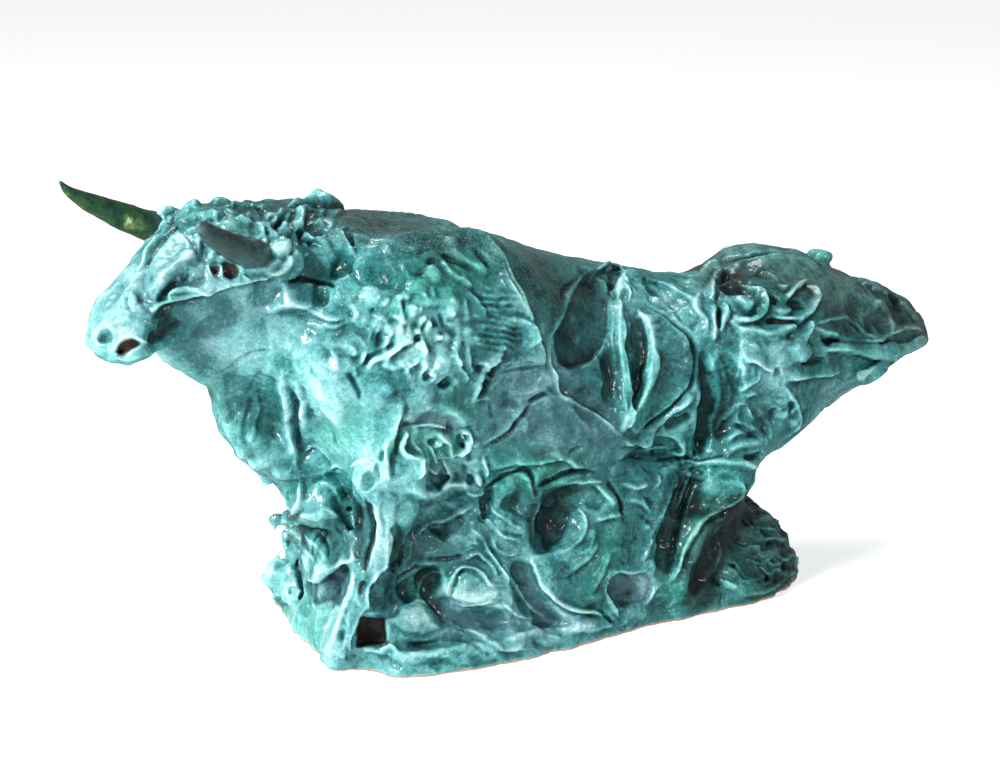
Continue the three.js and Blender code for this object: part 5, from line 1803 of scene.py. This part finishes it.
PAINT = [
    # picture polygon, what changes there (tone is darker below zero), soft edge in picture points
    # partly painted light: the face is made paler as the side the key light falls on; its dustier grey-blue is the
    # glaze's
    ("84,262 140,255 150,300 148,345 120,362 84,345", {"tone": 0.16, "dusty": 0.42}, 10),
    # painted shade: the wedge under the jaw, against the neck, is darkened
    ("146,316 160,311 176,315 182,322 170,333 158,342 148,346 142,338", {"tone": -0.22}, 8),
    ("117,356 118,346 124,340 132,338 140,343 132,349 126,354 122,357", {"rust": 0.9, "tone": -0.3}, 2),
    ("225,262 236,265 240,274 230,280 222,276", {"rust": 0.45, "tone": -0.3}, 2),
    ("210,262 219,265 220,280 213,276", {"rust": 0.4, "tone": -0.3}, 2),
    # painted shade: the square hollow by the foot is darkened; the brown in it is rust
    ("360,617 385,617 387,645 357,646", {"tone": -0.5, "rust": 0.35}, 2),
    ("359,583 363,583 363,595 359,595", {"rust": 0.8}, 1.5),
    ("150,228 200,232 205,262 160,275", {"tone": 0.07, "dusty": 0.25}, 10),
    ("150,262 205,255 220,280 200,292 160,296 146,320", {"tone": 0.0, "dusty": 0.3}, 8),
    # partly painted light: the neck is made paler as the side the key light falls on; its dustier grey-blue is the
    # glaze's
    ("180,298 290,288 300,345 240,375 190,350", {"tone": 0.15, "dusty": 0.35}, 18),
    ("186,316 215,330 210,372 190,372 170,345", {"tone": -0.10, "dusty": 0.1}, 10),
    ("295,355 375,362 385,480 320,485 300,430", {"tone": 0.21}, 16),
    ("355,290 450,285 470,350 440,385 370,375", {"tone": 0.23}, 16),
    ("400,425 480,430 480,490 400,490", {"tone": 0.15}, 12),
    ("285,590 345,590 345,665 300,655", {"tone": 0.13}, 10),
    ("262,525 330,520 350,560 320,610 262,605", {"tone": 0.10}, 12),
    # partly painted shade: the darker tone on the crown and along the back (this line and the next); the smoky tint and
    # pale flecks are the glaze's
    ("205,200 340,205 440,216 480,235 440,262 330,240 210,225", {"tone": -0.06, "smoke_and_sheen": 0.25, "speck": 0.3}, 14),
    ("330,205 500,235 560,255 620,262 600,275 560,320 520,300 500,262 470,250 340,235", {"tone": -0.10, "smoke_and_sheen": 0.25, "speck": 0.75}, 12),
    ("560,285 612,280 615,380 575,375 552,340", {"tone": -0.18, "dusty": 0.2}, 12),
    ("645,325 695,345 700,390 650,420", {"tone": -0.06}, 10),
    ("625,310 642,312 645,380 628,400", {"tone": -0.14}, 8),
    ("485,360 560,358 605,400 620,440 560,455 490,445", {"tone": -0.02, "dusty": 0.55}, 14),
    ("535,488 575,485 570,540 540,550 528,520", {"tone": -0.26, "dusty": 0.2}, 9),
    ("665,480 705,470 690,575 650,575", {"tone": -0.16}, 9),
    ("700,380 735,375 725,440 705,440", {"tone": -0.14}, 9),
    ("600,580 655,575 655,608 610,608", {"tone": -0.06, "dusty": 0.6}, 8),
    ("410,520 470,520 470,565 400,580", {"tone": -0.14, "dusty": 0.3}, 9),
    ("440,590 540,600 560,628 450,625", {"tone": 0.18, "dusty": 0.4}, 9),
    # painted reflection: on the rump this smoky tint and the darker tone stand in for a greyish sheen of reflected
    # light; elsewhere the tint is the glaze's own
    ("700,240 900,270 935,320 930,350 860,330 800,300 740,290 700,285", {"tone": -0.02, "smoke_and_sheen": 0.6}, 14),
    ("860,285 930,300 930,330 885,330", {"tone": -0.12}, 9),
    ("735,330 800,335 795,375 740,370", {"tone": 0.10}, 10),
    # partly painted shade: the rock behind is darkened; its smoky tint is the glaze's
    ("700,500 760,495 815,540 815,610 690,610", {"tone": -0.16, "smoke_and_sheen": 0.35}, 12),
    ("745,490 762,502 735,540 708,590 684,604 690,575 704,540 722,510", {"tone": -0.26, "smoke_and_sheen": 0.4}, 5),
    # painted highlight: a lump on the rock behind is made paler and cleared of the smoky tint
    ("722,552 745,556 752,575 744,600 722,602 716,575", {"tone": 0.16, "smoke_and_sheen": -0.3}, 6),
    # painted shade: the knee leaf's face, darkest in its right half (this line and the next two)
    ("326,512 345,526 354,540 348,558 330,570 322,560 324,535", {"tone": -0.26}, 4),
    ("300,520 318,514 330,528 322,545 308,535", {"tone": -0.14}, 4),
    ("285,520 345,515 350,570 300,585 280,560", {"tone": -0.10}, 10),
    # painted shade: the recess under the knee leaf, darkened and made grey-blue
    ("307,586 322,581 334,572 347,568 347,590 340,606 316,607", {"tone": -0.2, "dusty": 0.5}, 4),
    ("395,520 404,530 402,560 392,575 388,572 392,545", {"tone": -0.25}, 3),
    ("375,580 392,576 396,590 384,612 366,612 368,598", {"tone": -0.08}, 4),
    ("420,575 432,582 440,606 470,620 520,622 500,632 450,630 428,606", {"tone": -0.1, "dusty": 0.4}, 5),
    ("454,600 454,580 466,571 482,578 498,590 494,602 470,604", {"tone": 0.1}, 4),
    ("400,612 420,606 436,618 438,630 410,634", {"tone": 0.14, "dusty": 0.3}, 4),
    ("455,612 560,625 600,618 640,612 560,640 470,655 400,655", {"tone": 0.10, "dusty": 0.25}, 9),
    ("606,580 628,572 650,574 652,590 636,602 612,602", {"tone": 0.06, "dusty": 0.4}, 4),
    ("692,400 730,380 728,450 700,455 690,430", {"tone": -0.12}, 8),
    ("640,578 652,576 657,588 648,601 634,602", {"tone": 0.3, "smoke_and_sheen": -0.5}, 6),
    ("488,362 548,358 556,398 524,404 490,408", {"tone": 0.11}, 8),
    ("780,262 850,275 880,300 840,310 790,290", {"tone": 0.10}, 12),
    ("652,335 695,345 695,385 655,385", {"tone": -0.10}, 10),
    ("722,250 765,252 765,276 725,280", {"tone": -0.16}, 8),
    ("715,282 812,282 815,330 730,345", {"tone": -0.05}, 6),
    ("721,273 738,271 748,280 744,292 730,296 722,288", {"tone": -0.32, "smoke_and_sheen": 0.4}, 3),
    ("280,370 288,372 297,440 299,470 291,470 284,420", {"tone": 0.14}, 2),
    # painted light: the shadow under the roll on the elbow is lifted and made grey-blue
    ("404,412 430,405 454,412 460,424 444,424 420,422 404,426", {"tone": 0.12, "dusty": 0.3}, 4),
    ("690,478 704,480 697,505 691,520 682,535 677,555 670,572 663,575 670,545 677,520 684,498", {"tone": -0.3, "smoke_and_sheen": 0.25}, 3),
    ("702,484 716,478 735,482 738,492 722,498 706,492", {"tone": 0.22, "dusty": 0.3}, 4),
    ("374,505 397,503 395,540 389,566 374,578 370,545", {"tone": 0.22, "dusty": 0.2}, 3),
    # painted light: more lift for the shadow under the elbow roll, made grey-blue
    ("404,418 430,414 456,420 462,430 446,428 420,425 402,428", {"tone": 0.08, "dusty": 0.5}, 4),
    ("560,295 606,292 606,352 562,358", {"tone": 0.07}, 8),
    ("355,490 396,494 392,560 372,585 366,610 350,650 335,660 344,610 365,560", {"tone": -0.07}, 5),
    ("152,252 178,230 196,248 182,262 165,285 150,300", {"tone": 0.05}, 4),
    ("158,302 166,288 180,278 196,282 180,292 168,306", {"tone": -0.15}, 3),
    ("100,333 112,333 113,342 102,344", {"tone": -0.2}, 2),
    ("288,285 312,284 313,307 290,308", {"tone": -0.10}, 2),
    ("522,560 530,575 540,596 560,616 550,622 532,606 520,580", {"tone": -0.12, "dusty": 0.4}, 4),
    ("552,606 575,612 600,618 590,630 560,626", {"tone": 0.12, "dusty": 0.4}, 5),
    ("397,470 440,488 442,515 418,526 398,530", {"tone": 0.12}, 6),
    ("357,504 369,506 370,535 367,560 357,566 352,540", {"tone": -0.3, "smoke_and_sheen": 0.3}, 3),
    ("377,577 396,574 394,590 386,611 367,611 369,597", {"tone": -0.16}, 3),
    ("272,523 286,517 300,513 300,518 288,524 277,530", {"tone": -0.35, "rust": 0.25}, 1.5),
    ("396,420 470,420 490,455 484,492 430,492 398,478", {"crisp": 0.12}, 8),
    ("330,280 420,270 470,320 440,400 360,390 320,340", {"crisp": 0.10}, 10),
    ("180,205 300,195 310,270 200,280", {"crisp": 0.08}, 10),
    ("715,280 812,282 815,330 730,345", {"crisp": 0.08}, 8),
]


def coarse_mask(polygons, soft):
    """A share between 0 and 1 for every voxel, from picture polygons on both sides, worked out on a coarse grid."""
    q = 6
    n = [-(-m // q) + 1 for m in clay.f.shape]
    g = np.stack(np.meshgrid(*[clay.lo[k] + VOX * q * np.arange(n[k]) for k in range(3)], indexing="ij"), -1).reshape(-1, 3)
    out = np.zeros(len(g))
    for poly, amount in polygons:
        m = paint_mask(g, poly, soft)
        out = out * (1 - m) + amount * m
    out = out.reshape(n).astype(np.float32)
    for ax in range(3):
        x = np.arange(clay.f.shape[ax]) / q
        i = np.minimum(x.astype(int), n[ax] - 2)
        t = (x - i).astype(np.float32).reshape([-1 if k == ax else 1 for k in range(3)])
        out = np.take(out, i, ax) * (1 - t) + np.take(out, i + 1, ax) * t
    return out


ALL = "0,0 1000,0 1000,766 0,766"
ROUGH = [
    # how rough the clay is left, from 0 (smoothed) to 1
    (ALL, 0.75),
    ("150,310 290,290 300,300 290,350 230,380 190,360", 0.12),
    ("105,265 165,245 150,330 110,330 92,310", 0.35),
    ("300,245 345,225 400,235 440,250 400,280 350,290 300,290", 0.35),
    ("480,225 620,262 600,270 560,330 530,330 500,260", 0.06),
    ("300,365 372,370 375,480 330,480 310,440", 0.25),
    ("560,290 612,290 612,390 575,380", 0.15),
    ("645,325 690,345 698,380 650,410", 0.2),
    ("488,362 552,358 558,398 490,402", 0.3),
    ("545,530 640,530 640,600 560,600", 0.3),
    ("770,258 860,290 880,310 820,318 770,290", 0.3),
]


def roughen():
    """Uneven finger planes, small lumps and ragged edges, more where the clay was left rough."""
    m = coarse_mask(ROUGH, 14)
    f = clay.f
    f += (0.5 + 0.9 * m) * grid_noise(21, 101) * 0.9
    f += (0.05 + m) * grid_noise(9, 102) * 0.4
    for cell, seed, deep in ((15, 103, 1.0), (8, 104, 0.55)):
        ridged = np.clip(1 - 3 * np.abs(grid_noise(cell, seed)), 0, 1)
        f -= m * ridged * ridged * deep * np.sign(grid_noise(30, seed + 40))
    f += (0.03 + 0.16 * m) * grid_noise(2.6, 106)
    i = np.flatnonzero(np.abs(f.ravel()) < 4.5)
    ijk = np.stack(np.unravel_index(i, f.shape), 1)
    w = np.stack([(grid_noise(9.0, 110 + k).ravel()[i] * 1.5 + grid_noise(3.4, 120 + k).ravel()[i] * 0.4) for k in range(3)], 1)
    w *= (0.25 + 0.9 * m.ravel()[i])[:, None]
    new = clay.sample(ijk * VOX + clay.lo + w, f)
    out = f.copy()
    out.ravel()[i] = new
    clay.f = out


def finish_clay():
    global clay
    roughen()
    clay.f = blur(clay.f, 0.5)
    carve_hollow()
    s, X, Y, Z = clay.sub(GRID_LO, GRID_HI)
    clay.f = np.maximum(clay.f, -Z)


HORN_LEFT = [[-162, -31, 246, 7.0, 7.0], [-171, -37, 251, 8.4, 8.4], [-187, -49, 258, 8.0, 8.0], [-202, -58, 267, 6.4, 6.4], [-211.5, -63.5, 274, 4.6, 4.6], [-215, -65.4, 277, 3.2, 3.2], [-216.5, -66.2, 278.4, 1.6, 1.6]]
HORN_RIGHT = [[-178, 34, 246, 8.5, 8.5], [-197, 42, 252.5, 9.0, 9.0], [-217, 41, 260.8, 8.0, 8.0], [-237, 38, 271.2, 5.8, 5.8], [-252, 35, 280.4, 3.2, 3.2], [-258, 34, 287, 0.9, 0.9]]


def horn(name, stations, seed, cool):
    """A rolled, tapering horn with the potter's finger facets, as its own closed mesh."""
    st = spline(np.array(stations, float), step=1.6)
    P = st[:, :3]
    T = unit(np.gradient(P, axis=0))
    A = unit(np.cross(T, [0, 0, 1.0]))
    B = unit(np.cross(A, T))
    ring = 40
    a = np.linspace(0, 2 * np.pi, ring, endpoint=False)
    rows = P[:, None] + (A[:, None] * np.cos(a)[None, :, None] * st[:, 3][:, None, None] + B[:, None] * np.sin(a)[None, :, None] * st[:, 4][:, None, None])
    flat = rows.reshape(-1, 3)
    out = (rows - P[:, None]).reshape(-1, 3)
    size = np.repeat(st[:, 3], ring)
    d = 0.07 * fbm(flat, 9.0, 3, seed) * size
    flat = flat + unit(out) * d[:, None]
    n = len(P)
    tip0, tip1 = P[0] - T[0] * st[0, 3] * 0.4, P[-1] + T[-1] * st[-1, 3] * 0.9
    pts = np.vstack([flat, tip0, tip1])
    i = np.arange(n - 1)[:, None] * ring
    j = np.arange(ring)[None, :]
    k = (j + 1) % ring
    quads = np.stack([i + j, i + k, i + ring + k, i + ring + j], -1).reshape(-1, 4)
    c0, c1 = len(flat), len(flat) + 1
    bm_faces = [list(q) for q in quads] + [[c0, int(b), int(a_)] for a_, b in zip(range(ring), [*range(1, ring), 0])]
    base = (n - 1) * ring
    bm_faces += [[c1, base + a_, base + b] for a_, b in zip(range(ring), [*range(1, ring), 0])]
    me = bpy.data.meshes.new(name)
    me.from_pydata(((pts - CENTRE) / 1000).tolist(), [], [f[::-1] for f in bm_faces])
    me.polygons.foreach_set("use_smooth", np.ones(len(me.polygons), bool))
    me.validate()
    ct = me.attributes.new("cool", "FLOAT", "POINT")
    at = me.attributes.new("tone", "FLOAT", "POINT")
    s = np.concatenate([np.repeat(np.linspace(0, 1, n), ring), [0, 1]])
    up = np.concatenate([unit(out)[:, 2], [0, 0]])
    if cool:
        # painted reflection: darker on top and paler underneath, as if catching the pale floor; the tip rim and the
        # base are paler
        tone = 0.25 - 0.16 * up + 0.3 * np.clip((s - 0.9) / 0.1, 0, 1) + 0.12 * np.clip(1 - s / 0.2, 0, 1) + 0.12 * fbm(pts, 5.0, 3, seed + 5)
        grey = np.ones(len(pts))
    else:
        # darker on top and paler underneath; the bump part way along, on the horn's side, is a painted highlight
        tone = 0.30 - 0.24 * up + 0.5 * np.exp(-(((s - 0.45) / 0.08) ** 2)) * np.clip(1.3 - 1.8 * np.abs(up + 0.1), 0, 1) + 0.32 * fbm(pts, 5.0, 3, seed + 5)
        grey = np.clip((0.37 - s + 0.05 * up) / 0.10, 0, 1) * 0.8
        tone = tone + 0.35 * grey
    ct.data.foreach_set("value", grey.astype(np.float32))
    at.data.foreach_set("value", np.clip(tone, 0, 1).astype(np.float32))
    o = bpy.data.objects.new(name, me)
    bpy.context.scene.collection.objects.link(o)
    return o


finish_clay()
clay_nodes = [n for n in frame["nodes"] if not n.startswith("horn")]
pts, quads, back, front = net(settle(share_out(clay_nodes)))
skin = (back == 0) | (front == 0)
# every face looks outwards, from the clay to the air, or from the first piece to the second
turn = back == 0
quads[turn] = quads[turn][:, ::-1]
keep = main_body(len(pts), quads)
good = keep[quads[:, 0]]
quads, back, front, skin = quads[good], back[good], front[good], skin[good]
pts = relax(pts, quads[skin], 1, 0.35)
on_skin = np.zeros(len(pts), bool)
on_skin[quads[skin].ravel()] = True
low = pts[:, 2] < 0.55 * VOX
pts[low, 2] = 0.0
normal = point_normals(pts, quads[skin])
normal[low] = 0
attrs = {k: np.zeros(len(pts)) for k in ("tone", "dusty", "smoke_and_sheen", "rust", "speck", "bare")}
for k, v in tones(pts[on_skin]).items():
    attrs[k][on_skin] = v
inner = ~on_skin
attrs["bare"][inner] = 1
attrs["tone"][inner] = 0.4
glaze = glaze_material("turquoise_glaze")
left_out = []
sizes = {}
for k, n in enumerate(clay_nodes, 1):
    mine_skin = skin & ((back == k) | (front == k))
    cut_f = (~skin) & (back == k)
    cut_b = (~skin) & (front == k)
    if mine_skin.sum() < 40:
        left_out.append(n)
        continue
    qs = quads[mine_skin]
    qc = np.vstack([quads[cut_f], quads[cut_b][:, ::-1]])
    us, qs = np.unique(qs, return_inverse=True)
    uc, qc = np.unique(qc, return_inverse=True)
    qs, qc = qs.reshape(-1, 4), qc.reshape(-1, 4) + len(us)
    use = np.concatenate([us, uc])
    nr = np.vstack([normal[us], np.zeros((len(uc), 3))])
    o = make_mesh(n + "_glazed", pts[use], np.vstack([qs, qc]), {a: v[use] for a, v in attrs.items()}, nr)
    o.data.materials.append(glaze)
    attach(o, "root")
    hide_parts(n)
    sizes[n] = (len(qs), len(qc))
if left_out:
    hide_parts(*left_out)
print("pieces", len(sizes), "skin faces", sum(v[0] for v in sizes.values()), "cut faces", sum(v[1] for v in sizes.values()), "most", max(sizes.items(), key=lambda v: sum(v[1])), "left out", left_out)
horn_mat = glaze_material("horn_glaze", horn=True)
hl = horn("horn_left_glazed", HORN_LEFT, 71, 1.0)
hr = horn("horn_right_glazed", HORN_RIGHT, 72, 0.0)
for o, n in ((hl, "horn_left"), (hr, "horn_right")):
    o.data.materials.append(horn_mat)
    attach(o, "root")
    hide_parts(n)

# ------------------------------------------------------------------ camera, floor and light
cam_data = bpy.data.cameras.new("camera")
cam = bpy.data.objects.new("camera", cam_data)
bpy.context.scene.collection.objects.link(cam)
cam_data.sensor_width = 36.0
cam_data.lens = 36.0 * FOCAL / PIC_W
cam_data.clip_start, cam_data.clip_end = 0.05, 50.0
rot = Matrix((RIGHT, UP, BACK)).transposed()
cam.matrix_world = Matrix.Translation(Vector((EYE - CENTRE) / 1000)) @ rot.to_4x4()
bpy.context.scene.camera = cam

floor_me = bpy.data.meshes.new("floor")
floor_me.from_pydata([(-6, -6, -0.0002), (6, -6, -0.0002), (6, 6, -0.0002), (-6, 6, -0.0002)], [], [(0, 1, 2, 3)])
floor = bpy.data.objects.new("floor", floor_me)
bpy.context.scene.collection.objects.link(floor)
fm = bpy.data.materials.new("floor_white")
fnt = nodes_of(fm)
fb = N(fnt, "ShaderNodeBsdfPrincipled")
fo = N(fnt, "ShaderNodeOutputMaterial")
fb.inputs["Base Color"].default_value = (0.9, 0.9, 0.9, 1)
fb.inputs["Emission Color"].default_value = (1, 1, 1, 1)
fb.inputs["Emission Strength"].default_value = 0.62
fb.inputs["Roughness"].default_value = 0.6
fnt.links.new(fb.outputs[0], fo.inputs[0])
floor_me.materials.append(fm)
floor.visible_glossy = False


def soft_light(name, place, at, size, watts, colour=(1, 1, 1), size_y=None):
    d = bpy.data.lights.new(name, "AREA")
    d.shape = "RECTANGLE"
    d.size, d.size_y = size, size_y or size
    d.energy = watts
    d.color = colour
    o = bpy.data.objects.new(name, d)
    o.location = place
    o.rotation_mode = "QUATERNION"
    o.rotation_quaternion = (Vector(at) - Vector(place)).to_track_quat("-Z", "Y")
    bpy.context.scene.collection.objects.link(o)
    return o


soft_light("key", (-1.75, -0.6, 1.15), (-0.05, 0, 0.12), 0.5, 50, size_y=0.5).data.specular_factor = 0.55
soft_light("top", (-0.2, 0.5, 1.6), (0, 0, 0.1), 0.6, 16)
soft_light("fill", (0.3, -2.1, 1.0), (0, 0, 0.12), 0.3, 8).data.specular_factor = 0.15
world = bpy.data.worlds.new("studio")
bpy.context.scene.world = world
world.use_nodes = True
bg = world.node_tree.nodes["Background"]
bg.inputs[0].default_value = (1, 1, 1, 1)
bg.inputs[1].default_value = 0.22
bpy.context.scene.view_settings.view_transform = "Standard"
bpy.context.scene.view_settings.exposure = 0.0
